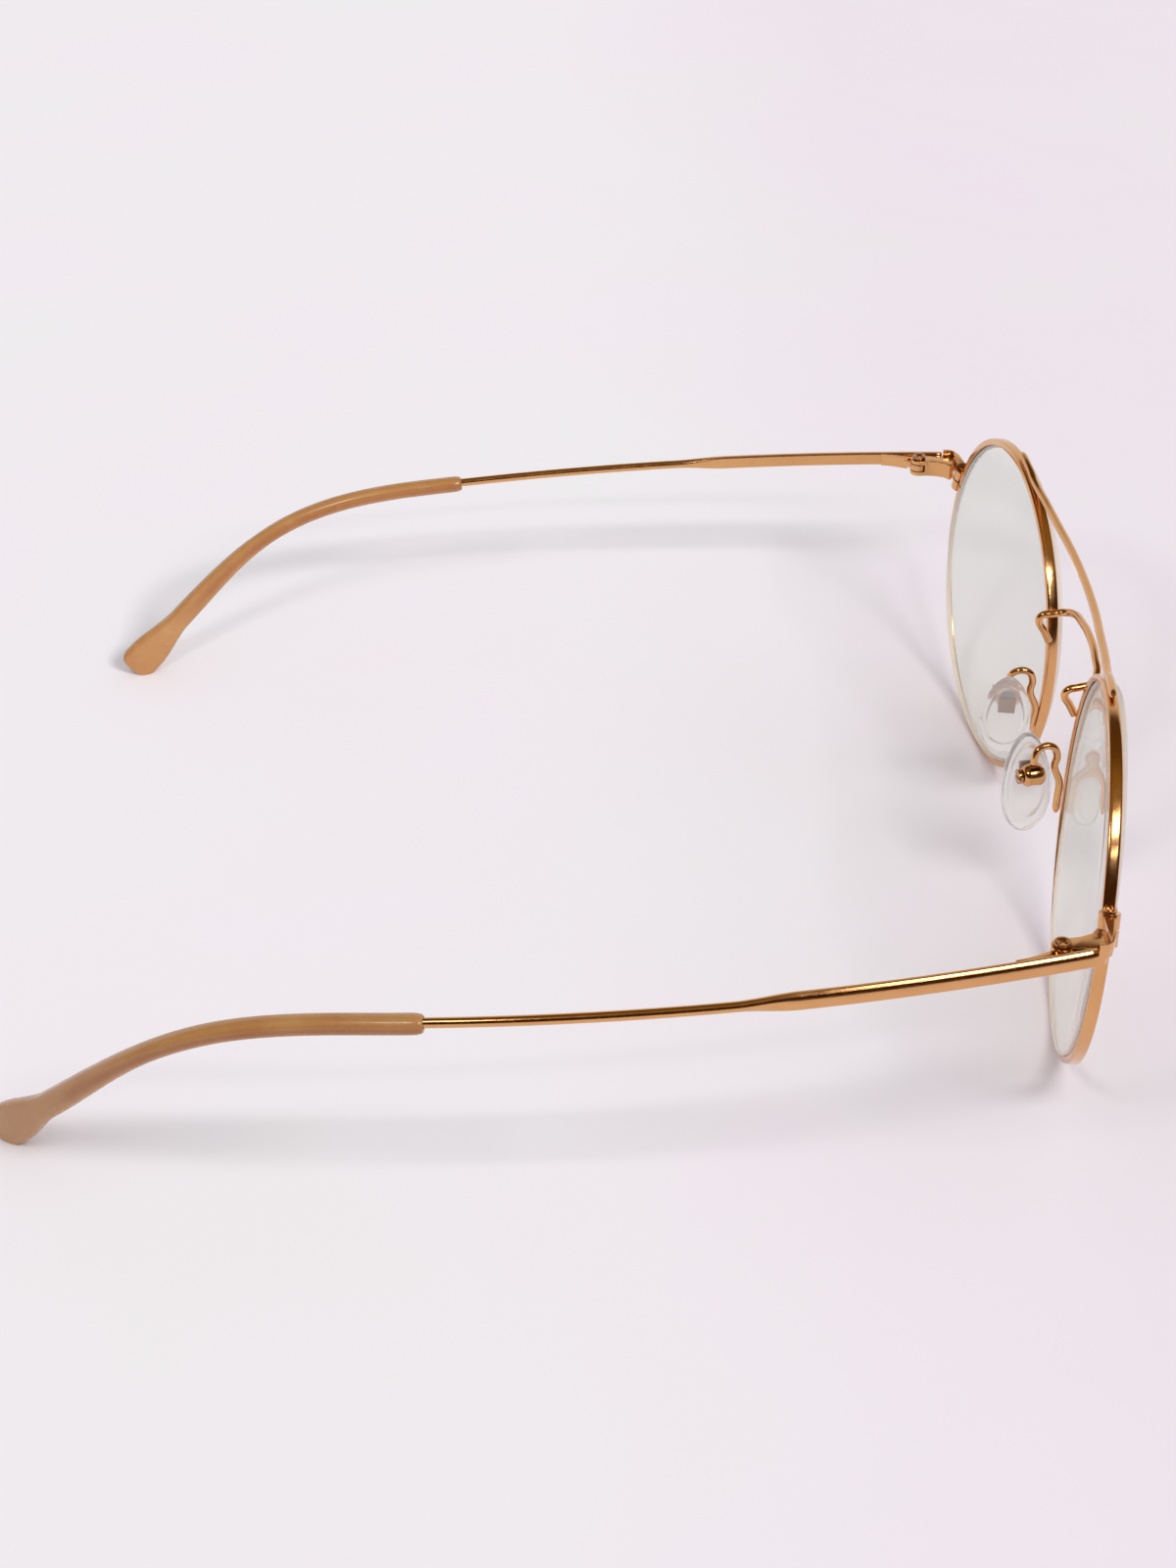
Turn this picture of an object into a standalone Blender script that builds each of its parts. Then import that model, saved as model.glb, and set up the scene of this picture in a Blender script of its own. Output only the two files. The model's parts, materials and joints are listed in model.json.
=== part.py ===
# Round metal eyeglasses: two full-rim eyewires on a double bridge, with folding temples
# and rocking nose pads. X runs across the face (the wearer's left is +X), the front faces -Y,
# the temples run to +Y, and Z is up. The glasses stand on both rims and both temple tips.
import math

import bmesh
import bpy
from mathutils import Matrix, Vector

mm = 0.001

# Lenses and eyewires
lens_diameter = 50.0 * mm
bridge_width = 20.0 * mm
lens_tilt = math.radians(2.2)
lens_wrap = math.radians(7.3)
lens_front_radius = 130.0 * mm
lens_back_radius = 127.95 * mm
lens_front_proud = 0.4 * mm
lens_back_proud = 0.05 * mm
bevel_height = 0.3 * mm
bevel_half_width = 0.35 * mm
rim_depth = 1.6 * mm
rim_thickness = 1.0 * mm
rim_edge = 0.2 * mm
groove_half_width = 0.5 * mm
groove_extra = 0.1 * mm

# Gaps: brazed or pressed seats, running fits, and the split of the eyewire
seat_gap = 0.1 * mm
running_gap = 0.12 * mm
pin_gap = 0.08 * mm
split_gap = 0.3 * mm

# Rim lock on the temple side of each eyewire
lock_angle = math.radians(20.5)
lock_radius = 1.35 * mm
lock_length = 4.1 * mm
lock_inset = 0.3 * mm
lock_screw_radius = 0.45 * mm
lock_head_radius = 0.85 * mm
lock_head_height = 0.45 * mm
driver_slot = 0.3 * mm
driver_slot_reach = 1.2
cross_slot_reach = 0.67

# Double bridge: the brow bar counts from the rims' tops, the arch from the lens centres
brow_radius = 0.58 * mm
brow_drop = 2.0 * mm
brow_front = 4.3 * mm
brow_angle_start = math.radians(91.0)
brow_angle_end = math.radians(107.0)
bridge_radius = 0.56 * mm
bridge_margin = 0.5 * mm
bridge_rise = 14.4 * mm
bridge_front = 6.15 * mm
bridge_depth = 5.3 * mm
bridge_foot_rise = 8.1 * mm
bridge_foot_room = 0.25 * mm

# Their routes from the nose outwards, as shares of width, depth and drop
brow_route = ((0.30, 0.10, 0.07), (0.56, 0.38, 0.27), (0.79, 0.66, 0.56))
arch_route = ((0.0, 0.0, 0.0), (0.52, 0.045, 0.045), (0.90, 0.14, 0.15), (1.037, 0.33, 0.238),
              (1.063, 0.64, 0.286), (1.076, 0.93, 0.341), (1.074, 0.99, 0.458))

# Endpiece, placed from the rim lock, and its rounded corner in shares of the corner's size
endpiece_height = 2.2 * mm
endpiece_rise = 1.1 * mm
endpiece_inset = 0.8 * mm
endpiece_root = 0.4 * mm
endpiece_front = 0.55 * mm
endpiece_back = 0.85 * mm
endpiece_corner = 2.1 * mm
endpiece_inner_corner = 0.4 * mm
endpiece_corner_shape = ((1.0, 0.26), (0.33, 0.55), (0.06, 0.93), (0.0, 1.33))
butt_back = 2.37 * mm

# Hinge, placed from the rim lock and the temple bar
hinge_back = 6.5 * mm
hinge_rise = 0.07 * mm
knuckle_radius = 1.35 * mm
knuckle_stack = 2.6 * mm
middle_knuckle = 1.0 * mm
knuckle_room = 0.25 * mm
hinge_pin_radius = 0.45 * mm
hinge_head_radius = 1.05 * mm
hinge_head_height = 0.4 * mm
front_leaf_root = 2.2 * mm
front_leaf_corner = 0.5 * mm
rear_leaf_length = 4.2 * mm
rear_leaf_thickness = 1.0 * mm
rear_leaf_gap = 0.35 * mm

# The outlines of both leaves, in shares of the knuckle's radius and the rear leaf's thickness
front_leaf_shoulder = 0.15
front_leaf_flank = (0.5, 0.7)
rear_leaf_height_share = 0.95
rear_tongue_front = 0.45
rear_tongue_outer = 0.15
rear_tongue_back = 0.95
rear_tongue_start = 0.6
rear_tongue_depth = 0.8
rear_tongue_sink = 0.2

# The rear leaf's hollow inner edge: shares of its thickness, and of its length
rear_leaf_curve = ((1.0, 0.0), (0.85, 0.15), (0.5, 0.4), (0.25, 0.75), (0.14, 1.0))

# The front leaf's hollow inner edge: shares of its width inboard of the knuckle, and of its length
front_leaf_curve = ((0.0, 1.0), (0.07, 0.74), (0.36, 0.38), (0.80, 0.20), (0.64, 0.10))

# Temples
temple_out = 6.9 * mm
temple_rise = 0.42 * mm
temple_toe_in = 0.015
temple_slope = 0.0585
temple_bow = 5.0 * mm
temple_bow_length = 110.0 * mm
temple_bar_height = 2.08 * mm
temple_bar_thickness = 1.25 * mm
temple_bar_roundness = 5.0
temple_wire_radius = 0.68 * mm
taper_start = 32.0 * mm
taper_end = 40.0 * mm
bend_start = 84.0 * mm
bend_reach = 50.1 * mm
bend_angle = math.radians(42.0)
bend_lead = 27.0 * mm
bend_tail = 27.5 * mm

# Temple tips, whose ends stand on the ground
tip_start = 76.5 * mm
tip_thickness = 2.7 * mm
tip_neck_height = 2.5 * mm
tip_sag = 0.15 * mm
tip_waist_height = 3.5 * mm
tip_waist_start = 36.0 * mm
tip_waist_end = 13.0 * mm
tip_neck_roundness = 2.3
tip_end_roundness = 3.0
tip_flare_height = 2.6 * mm
tip_flare_sink = 0.1 * mm
tip_flare_start = 13.0 * mm
tip_flare_end = 3.0 * mm
tip_mouth_round = 0.5 * mm
tip_mouth_share = 0.85
tip_end_round = 1.7 * mm
tip_end_blunt = 0.72
core_margin = 15.0 * mm
tip_end_height = 1.2 * mm

# How far the last stretch of each tip is bent inwards from its even curve, as fitted to a wearer
tip_curl_length = 30.0 * mm
tip_curl_left = -2.8 * mm
tip_curl_right = 6.4 * mm

# Nose pads
pad_box_out = 0.9 * mm
pad_box_back = 2.5 * mm
pad_box_drop = 1.3 * mm
pad_lean = math.radians(11.4)
pad_splay = math.radians(10.0)
pad_box_radius = 1.7 * mm
pad_box_length = 3.1 * mm
pad_box_face = 0.85 * mm
pad_box_roundness = 2.4
pad_length = 15.2 * mm
pad_width = 7.4 * mm
pad_thickness = 1.8 * mm
pad_drop = 2.1 * mm
pad_egg = 0.16
pad_tab_thickness = 1.2 * mm
pad_tab_radius = 1.0 * mm
pad_tab_room = 0.45 * mm
pad_tab_stem = 0.9
pad_screw_radius = 0.45 * mm
pad_head_radius = 1.05 * mm
pad_head_height = 0.6 * mm
insert_length = 2.8 * mm
insert_width = 2.4 * mm
insert_depth = 0.5 * mm
arm_radius = 0.53 * mm
arm_foot_angle = math.radians(18.0)
arm_offset = 0.1 * mm
arm_set_back = 0.95 * mm
arm_lift = 1.0 * mm
arm_loop = 1.35 * mm
arm_entry_inset = 0.6
arm_foot_shares = (1.0, 0.7, 0.42)

# The pad arm's bends behind its foot: shares of set-back, lift and loop, and the top of the loop
arm_bends = ((1.0, -2.0, 0.0), (0.8, -0.2, 0.0), (1.7, 0.0, 1.0))
arm_loop_top = 0.8

# Facets
ring_steps = 64
small_steps = 24
bore_steps = 16
ball_steps = 5
wire_bevel_steps = 2
wire_smooth_steps = 3
section_points = 12
pad_points = 28
sharp_angle = math.radians(35)

# How far a cutter passes the faces that it opens
overshoot = 1.0 * mm

lens_radius = lens_diameter / 2 - bevel_height
rim_inner = lens_radius + seat_gap
rim_outer = rim_inner + rim_thickness
lens_x = (lens_diameter + bridge_width) / 2
lens_z = rim_outer * math.cos(lens_tilt) + rim_depth / 2 * math.sin(lens_tilt)
lens_turn = Matrix.Rotation(lens_tilt, 4, "X") @ Matrix.Rotation(lens_wrap, 4, "Z")
lens_frame = Matrix.Translation((lens_x, 0, lens_z)) @ lens_turn
turning_frame = lens_frame @ Matrix.Rotation(math.radians(90), 4, "X")


def on_rim(angle, radius, forward=0.0):
    """A point at an angle round the left lens: 0 at the temple side, 90 degrees at the top."""
    return lens_frame @ Vector((radius * math.cos(angle), -forward, radius * math.sin(angle)))


lock_place = on_rim(lock_angle, rim_outer + lock_radius - lock_inset)
temple_x = lock_place.x + temple_out
temple_z = lock_place.z + temple_rise
butt_y = lock_place.y + butt_back
hinge_place = Vector((temple_x - temple_bar_thickness / 2 - knuckle_room - knuckle_radius,
                      lock_place.y + hinge_back, lock_place.z + hinge_rise))
hinge_frame = Matrix.Translation(hinge_place)
pad_place = Vector((bridge_width / 2 + pad_box_out, pad_box_back, lens_z - pad_box_drop))

for old in list(bpy.data.objects):
    bpy.data.objects.remove(old, do_unlink=True)

parts = bpy.data.collections.new("round_eyeglasses")
cutters = bpy.data.collections.new("cutters")
bpy.context.scene.collection.children.link(parts)
bpy.context.scene.collection.children.link(cutters)


def finish(name, colour, roughness, metallic, transmission=0.0):
    material = bpy.data.materials.new(name)
    material.use_nodes = True
    shader = material.node_tree.nodes["Principled BSDF"]
    shader.inputs["Base Color"].default_value = (*colour, 1.0)
    shader.inputs["Roughness"].default_value = roughness
    shader.inputs["Metallic"].default_value = metallic
    shader.inputs["Transmission Weight"].default_value = transmission
    return material


rose_gold = finish("rose_gold_plating", (0.72, 0.40, 0.20), 0.12, 1.0)
clear_lens = finish("clear_lens", (0.90, 0.91, 0.89), 0.03, 0.0, 0.9)
clear_silicone = finish("clear_silicone", (0.92, 0.92, 0.90), 0.12, 0.0, 0.8)
tan_acetate = finish("tan_acetate", (0.50, 0.25, 0.10), 0.22, 0.0)


# Building blocks
def add_object(name, mesh, material):
    piece = bpy.data.objects.new(name, mesh)
    parts.objects.link(piece)
    if material:
        mesh.materials.clear()
        mesh.materials.append(material)
    return piece


def as_cutter(piece):
    parts.objects.unlink(piece)
    cutters.objects.link(piece)
    piece.hide_render = True
    piece.display_type = "WIRE"


def bake(piece):
    """Replaces a piece by the mesh that its curve or modifiers give."""
    bpy.context.view_layer.update()
    evaluated = piece.evaluated_get(bpy.context.evaluated_depsgraph_get())
    mesh = bpy.data.meshes.new_from_object(evaluated)
    name = piece.name
    matrix = piece.matrix_world.copy()
    material = piece.data.materials[0] if piece.data.materials else None
    bpy.data.objects.remove(piece, do_unlink=True)
    shell = bmesh.new()
    shell.from_mesh(mesh)
    bmesh.ops.remove_doubles(shell, verts=shell.verts, dist=0.001 * mm)
    bmesh.ops.transform(shell, matrix=matrix, verts=shell.verts)
    bmesh.ops.recalc_face_normals(shell, faces=shell.faces)
    shell.to_mesh(mesh)
    shell.free()
    mesh.shade_smooth()
    mesh.set_sharp_from_angle(angle=sharp_angle)
    return add_object(name, mesh, material)


def combine(piece, other, operation):
    """Joins or cuts a piece with another one, which then becomes a cutter."""
    boolean = piece.modifiers.new(operation.lower(), "BOOLEAN")
    boolean.operation = operation
    boolean.solver = "EXACT"
    boolean.object = other
    piece = bake(piece)
    as_cutter(other)
    return piece


def turned(name, profile, frame, material, steps=ring_steps):
    """Turns a closed or open profile of (radius, height) about the frame's Z axis."""
    closed = profile[0][0] > 0
    mesh = bpy.data.meshes.new(name)
    count = len(profile)
    edges = [(i, i + 1) for i in range(count - 1)] + ([(count - 1, 0)] if closed else [])
    mesh.from_pydata([(radius, 0, height) for radius, height in profile], edges, [])
    piece = add_object(name, mesh, material)
    half_step = Matrix.Rotation(math.pi / steps, 4, "Z")
    piece.matrix_world = frame @ half_step
    screw = piece.modifiers.new("turn", "SCREW")
    screw.steps = steps
    screw.render_steps = steps
    screw.use_merge_vertices = True
    screw.merge_threshold = 0.001 * mm
    return bake(piece)


def rod(name, frame, radius, low, high, material, sides=small_steps):
    """A cylinder about the frame's Z axis, from low to high."""
    shell = bmesh.new()
    lift = Matrix.Translation((0, 0, (low + high) / 2))
    bmesh.ops.create_cone(shell, cap_ends=True, segments=sides, radius1=radius, radius2=radius,
                          depth=high - low, matrix=frame @ lift)
    mesh = bpy.data.meshes.new(name)
    shell.to_mesh(mesh)
    shell.free()
    return bake(add_object(name, mesh, material))


def box(name, frame, low, high, material):
    """A block between two corners in the frame."""
    shell = bmesh.new()
    size = Vector(high) - Vector(low)
    middle = (Vector(high) + Vector(low)) / 2
    bmesh.ops.create_cube(shell, size=1.0, matrix=frame @ Matrix.Translation(middle)
                          @ Matrix.Diagonal((*size, 1.0)))
    mesh = bpy.data.meshes.new(name)
    shell.to_mesh(mesh)
    shell.free()
    return bake(add_object(name, mesh, material))


def plate(name, outline, middle_z, height, material):
    """A flat outline in X and Y, as thick as height about middle_z."""
    curve = bpy.data.curves.new(name, "CURVE")
    curve.dimensions = "2D"
    curve.fill_mode = "BOTH"
    curve.extrude = height / 2
    spline = curve.splines.new("POLY")
    spline.points.add(len(outline) - 1)
    for point, (x, y) in zip(spline.points, outline):
        point.co = (x, y, 0, 1)
    spline.use_cyclic_u = True
    piece = add_object(name, curve, material)
    piece.location.z = middle_z
    return bake(piece)


def wire(name, route, radius, material):
    """A round wire through the points of its route."""
    curve = bpy.data.curves.new(name, "CURVE")
    curve.dimensions = "3D"
    curve.bevel_depth = radius
    curve.bevel_resolution = wire_bevel_steps
    curve.use_fill_caps = True
    curve.resolution_u = wire_smooth_steps
    spline = curve.splines.new("BEZIER")
    spline.bezier_points.add(len(route) - 1)
    for point, place in zip(spline.bezier_points, route):
        point.co = place
        point.handle_left_type = "AUTO"
        point.handle_right_type = "AUTO"
    return bake(add_object(name, curve, material))


def loft(name, rings, material):
    """A closed skin over rings of equally many points, with an end cap on the first and last."""
    shell = bmesh.new()
    rows = [[shell.verts.new(point) for point in ring] for ring in rings]
    for row, after in zip(rows, rows[1:]):
        for i in range(len(row)):
            j = (i + 1) % len(row)
            shell.faces.new((row[i], row[j], after[j], after[i]))
    shell.faces.new(rows[0])
    shell.faces.new(rows[-1])
    mesh = bpy.data.meshes.new(name)
    shell.to_mesh(mesh)
    shell.free()
    return bake(add_object(name, mesh, material))


def mirror(piece):
    """Turns a left piece into a right one."""
    piece.data.transform(Matrix.Diagonal((-1, 1, 1, 1)))
    piece.data.flip_normals()
    return piece


def right_copy(piece):
    name = piece.name.replace("_left", "_right")
    mesh = piece.data.copy()
    mesh.name = name
    return mirror(add_object(name, mesh, piece.data.materials[0]))


# Eyewires and lenses
def rim_profile():
    half = rim_depth / 2
    groove = bevel_height + groove_extra
    return [(rim_outer - rim_edge, half), (rim_outer, half - rim_edge),
            (rim_outer, rim_edge - half), (rim_outer - rim_edge, -half),
            (rim_inner, -half), (rim_inner, -groove_half_width),
            (rim_inner + groove, 0), (rim_inner, groove_half_width), (rim_inner, half)]


def sag(radius, curvature):
    return curvature - math.sqrt(curvature ** 2 - radius ** 2)


def lens_profile():
    front = rim_depth / 2 + lens_front_proud
    back = -rim_depth / 2 - lens_back_proud
    rings = [lens_radius * i / 4 for i in range(5)]
    crown = sag(lens_radius, lens_front_radius)
    hollow = sag(lens_radius, lens_back_radius)
    face = [(r, front + crown - sag(r, lens_front_radius)) for r in rings]
    edge = [(lens_radius, bevel_half_width), (lens_radius + bevel_height, 0),
            (lens_radius, -bevel_half_width)]
    rear = [(r, back + hollow - sag(r, lens_back_radius)) for r in reversed(rings)]
    return face + edge + rear


def eyewire():
    ring = turned("rim_left", rim_profile(), turning_frame, rose_gold)
    split = lens_frame @ Matrix.Rotation(-lock_angle, 4, "Y")
    slot = box("rim_split", split, (rim_inner - overshoot, -rim_depth, -split_gap / 2),
               (rim_outer + overshoot, rim_depth, split_gap / 2), None)
    return combine(ring, slot, "DIFFERENCE")


# The lock frame's Z axis is the lock screw, along the eyewire where it is split
lock_frame = Matrix.Translation(lock_place) @ lens_turn @ Matrix.Rotation(-lock_angle, 4, "Y")


def rim_lock():
    """Two barrel halves and the screw that draws the eyewire together round the lens."""
    half = lock_length / 2
    clear = rim_outer + seat_gap
    reach = 2 * rim_depth
    seat = [(0, reach), (clear, reach), (clear, -reach), (0, -reach)]
    pieces = []
    for name, low, high in (("rim_lock_upper_left", split_gap / 2, half),
                            ("rim_lock_lower_left", -half, -split_gap / 2)):
        barrel = rod(name, lock_frame, lock_radius, low, high, rose_gold)
        barrel = combine(barrel, turned("lens_clearance", seat, turning_frame, None), "DIFFERENCE")
        bore = rod("lock_bore", lock_frame, lock_screw_radius + pin_gap, low - overshoot,
                   high + overshoot, None, bore_steps)
        pieces.append(combine(barrel, bore, "DIFFERENCE"))
    head_low = half + seat_gap
    head_high = head_low + lock_head_height
    screw = rod("rim_lock_screw_left", lock_frame, lock_screw_radius, -half,
                head_low + lock_head_height / 2, rose_gold, bore_steps)
    head = rod("lock_head", lock_frame, lock_head_radius, head_low, head_high, None)
    screw = combine(screw, head, "UNION")
    groove = box("lock_driver_slot", lock_frame,
                 (-lock_head_radius * driver_slot_reach, -driver_slot / 2, head_high - lock_head_height / 2),
                 (lock_head_radius * driver_slot_reach, driver_slot / 2, head_high + overshoot), None)
    pieces.append(combine(screw, groove, "DIFFERENCE"))
    return pieces


# Double bridge
def both_sides(half_route):
    """A route over the nose from its left half, which starts at the middle."""
    left = [Vector(point) for point in half_route]
    right = [Vector((-point.x, point.y, point.z)) for point in left[1:]]
    return list(reversed(left)) + right


def between(start, end, shares):
    """Points from a start to an end by shares of the way in X, Y and Z."""
    return [Vector([s + (e - s) * share for s, e, share in zip(start, end, row)]) for row in shares]


def brow_bar():
    seat = rim_outer + seat_gap + brow_radius
    steps = 4
    on_top = [on_rim(brow_angle_end + (brow_angle_start - brow_angle_end) * i / steps, seat)
              for i in range(steps + 1)]
    rim_top = lens_z + rim_outer
    middle = Vector((0, -brow_front, rim_top - brow_drop))
    span = [middle] + between(middle, on_top[0], brow_route)
    return wire("brow_bar", both_sides(span + on_top), brow_radius, rose_gold)


def lower_bridge():
    along = math.sqrt(rim_outer ** 2 - bridge_foot_rise ** 2)
    foot = Vector((lens_x - along * math.cos(lens_wrap) - bridge_radius - bridge_foot_room,
                   rim_depth / 2 - along * math.sin(lens_wrap)
                   - bridge_foot_rise * math.sin(lens_tilt),
                   lens_z + bridge_foot_rise))
    crest = Vector((0, -bridge_front, lens_z + bridge_rise))
    corner = Vector((bridge_width / 2 - bridge_margin, bridge_depth - bridge_front, foot.z))
    arch = between(crest, corner, arch_route)
    return wire("lower_bridge", both_sides(arch + [arch[-1].lerp(foot, 0.5), foot]), bridge_radius,
                rose_gold)


# Endpiece and hinge
def temple_point(along):
    """The temple's centre line at a distance along it from the hinge, before its bend."""
    part = along / temple_bow_length
    return Vector((temple_x - temple_toe_in * along + temple_bow * 4 * part * (1 - part),
                   hinge_place.y + along, temple_z - temple_slope * along))


bracket_outer = temple_point(butt_y - hinge_place.y).x + temple_bar_thickness / 2 - endpiece_inset
bracket_inner = bracket_outer + endpiece_inset - temple_bar_thickness
bracket_rear = lock_place.y + endpiece_back


def endpiece():
    root = lock_place.x + endpiece_root
    face = lock_place.y - endpiece_front
    corner = [(bracket_outer - endpiece_corner * x, face + endpiece_corner * y)
              for x, y in endpiece_corner_shape]
    outline = [(root, face)] + corner + [
        (bracket_outer, butt_y), (bracket_inner, butt_y),
        (bracket_inner, bracket_rear + endpiece_inner_corner),
        (bracket_inner - endpiece_inner_corner, bracket_rear), (root, bracket_rear)]
    bracket = plate("endpiece_left", outline, lock_place.z + endpiece_rise, endpiece_height, rose_gold)
    seat = rod("lock_seat", lock_frame, lock_radius + seat_gap, -lock_length, lock_length, None)
    return combine(bracket, seat, "DIFFERENCE")


def knuckle_bored(leaf):
    bore = rod("knuckle_bore", hinge_frame, hinge_pin_radius + pin_gap, -knuckle_stack,
               knuckle_stack, None, bore_steps)
    return combine(leaf, bore, "DIFFERENCE")


def front_hinge():
    """The leaf with the top and bottom knuckles, brazed inside the endpiece."""
    r = knuckle_radius
    outer = bracket_inner - seat_gap
    near = bracket_rear + seat_gap
    back = hinge_place.y - r
    waist = hinge_place.x - r
    hollow = [(waist - (outer - waist) * x, near + (back - near) * y) for x, y in front_leaf_curve]
    root = lock_place.x + front_leaf_root
    outline = [(root, near), (outer - front_leaf_corner, near), (outer, near + front_leaf_corner),
               (outer, back - r * front_leaf_shoulder),
               (hinge_place.x + r * front_leaf_flank[0], hinge_place.y - r * front_leaf_flank[1]),
               (waist, hinge_place.y)] + hollow
    leaf = plate("hinge_front_left", outline, hinge_place.z, knuckle_stack, rose_gold)
    barrel = rod("front_barrel", hinge_frame, r, -knuckle_stack / 2, knuckle_stack / 2, None)
    leaf = combine(leaf, barrel, "UNION")
    room = middle_knuckle / 2 + running_gap
    slot = rod("knuckle_slot", hinge_frame, r + 2 * running_gap, -room, room, None)
    return knuckle_bored(combine(leaf, slot, "DIFFERENCE"))


def rear_hinge():
    """The leaf with the middle knuckle, brazed inside the temple bar."""
    r = knuckle_radius
    half = middle_knuckle / 2
    x, y, z = hinge_place
    start = y + r + rear_leaf_gap
    end = start + rear_leaf_length

    def face(place):
        return temple_point(place - y).x - temple_bar_thickness / 2 - seat_gap

    outline = [(face(start), start), (face(end), end)]
    for depth, along in reversed(rear_leaf_curve):
        place = start + (end - start) * along
        outline.append((face(place) - rear_leaf_thickness * depth, place))
    leaf = plate("hinge_rear_left", outline, z, temple_bar_height * rear_leaf_height_share, rose_gold)
    barrel = rod("middle_barrel", hinge_frame, r, -half, half, None)
    inside = start + rear_leaf_thickness * rear_tongue_start
    tongue = plate("tongue", [(x, y - r * rear_tongue_front), (face(y), y - r * rear_tongue_outer),
                              (face(start) - seat_gap * rear_tongue_sink, inside),
                              (face(start) - rear_leaf_thickness * rear_tongue_depth, inside),
                              (x, y + r * rear_tongue_back)],
                   z, middle_knuckle, None)
    return knuckle_bored(combine(combine(leaf, tongue, "UNION"), barrel, "UNION"))


def hinge_screw():
    low = knuckle_stack / 2 + seat_gap
    high = low + hinge_head_height
    pin = rod("hinge_screw_left", hinge_frame, hinge_pin_radius, -knuckle_stack / 2,
              low + hinge_head_height / 2, rose_gold, bore_steps)
    head = rod("hinge_head", hinge_frame, hinge_head_radius, low, high, None)
    pin = combine(pin, head, "UNION")
    arm = hinge_head_radius * cross_slot_reach
    for turn in (45, 135):
        cross = hinge_frame @ Matrix.Rotation(math.radians(turn), 4, "Z")
        groove = box("cross_slot", cross, (-arm, -driver_slot / 2, high - hinge_head_height / 2),
                     (arm, driver_slot / 2, high + overshoot), None)
        pin = combine(pin, groove, "DIFFERENCE")
    return pin


# Temples and tips
def temple_route(curl):
    """Rows of centre point, direction and distance from the hinge along a left temple."""
    sweep = 40
    butt = butt_y + seat_gap - hinge_place.y
    flat = [butt * (1 - i / 4) for i in range(4)]
    flat += [bend_start * i / 21 for i in range(21)]
    a = Vector((bend_start, 0))
    b = a + Vector((bend_lead, 0))
    bend_drop = temple_point(bend_start + bend_reach).z - tip_end_height
    d = a + Vector((bend_reach, -bend_drop))
    c = d - bend_tail * Vector((math.cos(bend_angle), -math.sin(bend_angle)))
    side = [Vector((x, 0)) for x in flat]
    for i in range(sweep + 1):
        t = i / sweep
        side.append((1 - t) ** 3 * a + 3 * (1 - t) ** 2 * t * b + 3 * (1 - t) * t ** 2 * c + t ** 3 * d)
    curl_start = bend_start + bend_reach - tip_curl_length
    centres = []
    for point in side:
        share = max(point.x - curl_start, 0) / tip_curl_length
        centres.append(temple_point(point.x) + Vector((-curl * share ** 2, 0, point.y)))
    rows = []
    distance = flat[0]
    for i, centre in enumerate(centres):
        before = centres[max(i - 1, 0)]
        after = centres[min(i + 1, len(centres) - 1)]
        if i:
            distance += (centre - before).length
        rows.append((centre, (after - before).normalized(), distance))
    return rows


def at_distance(rows, distance):
    for (p, u, s), (q, v, e) in zip(rows, rows[1:]):
        if distance <= e:
            share = (distance - s) / (e - s)
            return p.lerp(q, share), u.lerp(v, share).normalized()
    return rows[-1][0], rows[-1][1]


def section(centre, direction, thickness, height, roundness, lower=0.0):
    """A rounded section square to the route: roundness 2 is an ellipse, more is boxier."""
    across = direction.cross(Vector((0, 0, 1))).normalized()
    upward = across.cross(direction).normalized()
    points = []
    for i in range(section_points):
        angle = 2 * math.pi * (i + 0.5) / section_points
        c = math.cos(angle)
        s = math.sin(angle)
        x = math.copysign(abs(c) ** (2 / roundness), c) * thickness / 2
        z = math.copysign(abs(s) ** (2 / roundness), s) * height / 2
        points.append(centre + across * x + upward * (z - lower))
    return points


def blend(value, start, end):
    share = min(max((value - start) / (end - start), 0), 1)
    return share * share * (3 - 2 * share)


def core_stations(rows):
    """Distances along the stretch of the temple's wire that lies in the tip."""
    core_end = rows[-1][2] - core_margin
    return [tip_start + (core_end - tip_start) * i / 12 for i in range(13)]


def temple_bar(name, curl):
    rows = temple_route(curl)
    start = rows[0][2]
    stations = [start, start / 2] + [taper_start * share for share in (0.2, 0.45, 0.7, 1.0)]
    stations += [taper_start + (taper_end - taper_start) * i / 3 for i in (1, 2, 3)]
    stations += [taper_end + (tip_start - taper_end) * i / 3 for i in (1, 2)] + core_stations(rows)
    rings = []
    for distance in stations:
        centre, direction = at_distance(rows, distance)
        share = blend(distance, taper_start, taper_end)
        height = temple_bar_height + (2 * temple_wire_radius - temple_bar_height) * share
        thickness = temple_bar_thickness + (2 * temple_wire_radius - temple_bar_thickness) * share
        roundness = temple_bar_roundness + (2 - temple_bar_roundness) * share
        rings.append(section(centre, direction, thickness, height, roundness))
    return loft(name, rings, rose_gold)


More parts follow.
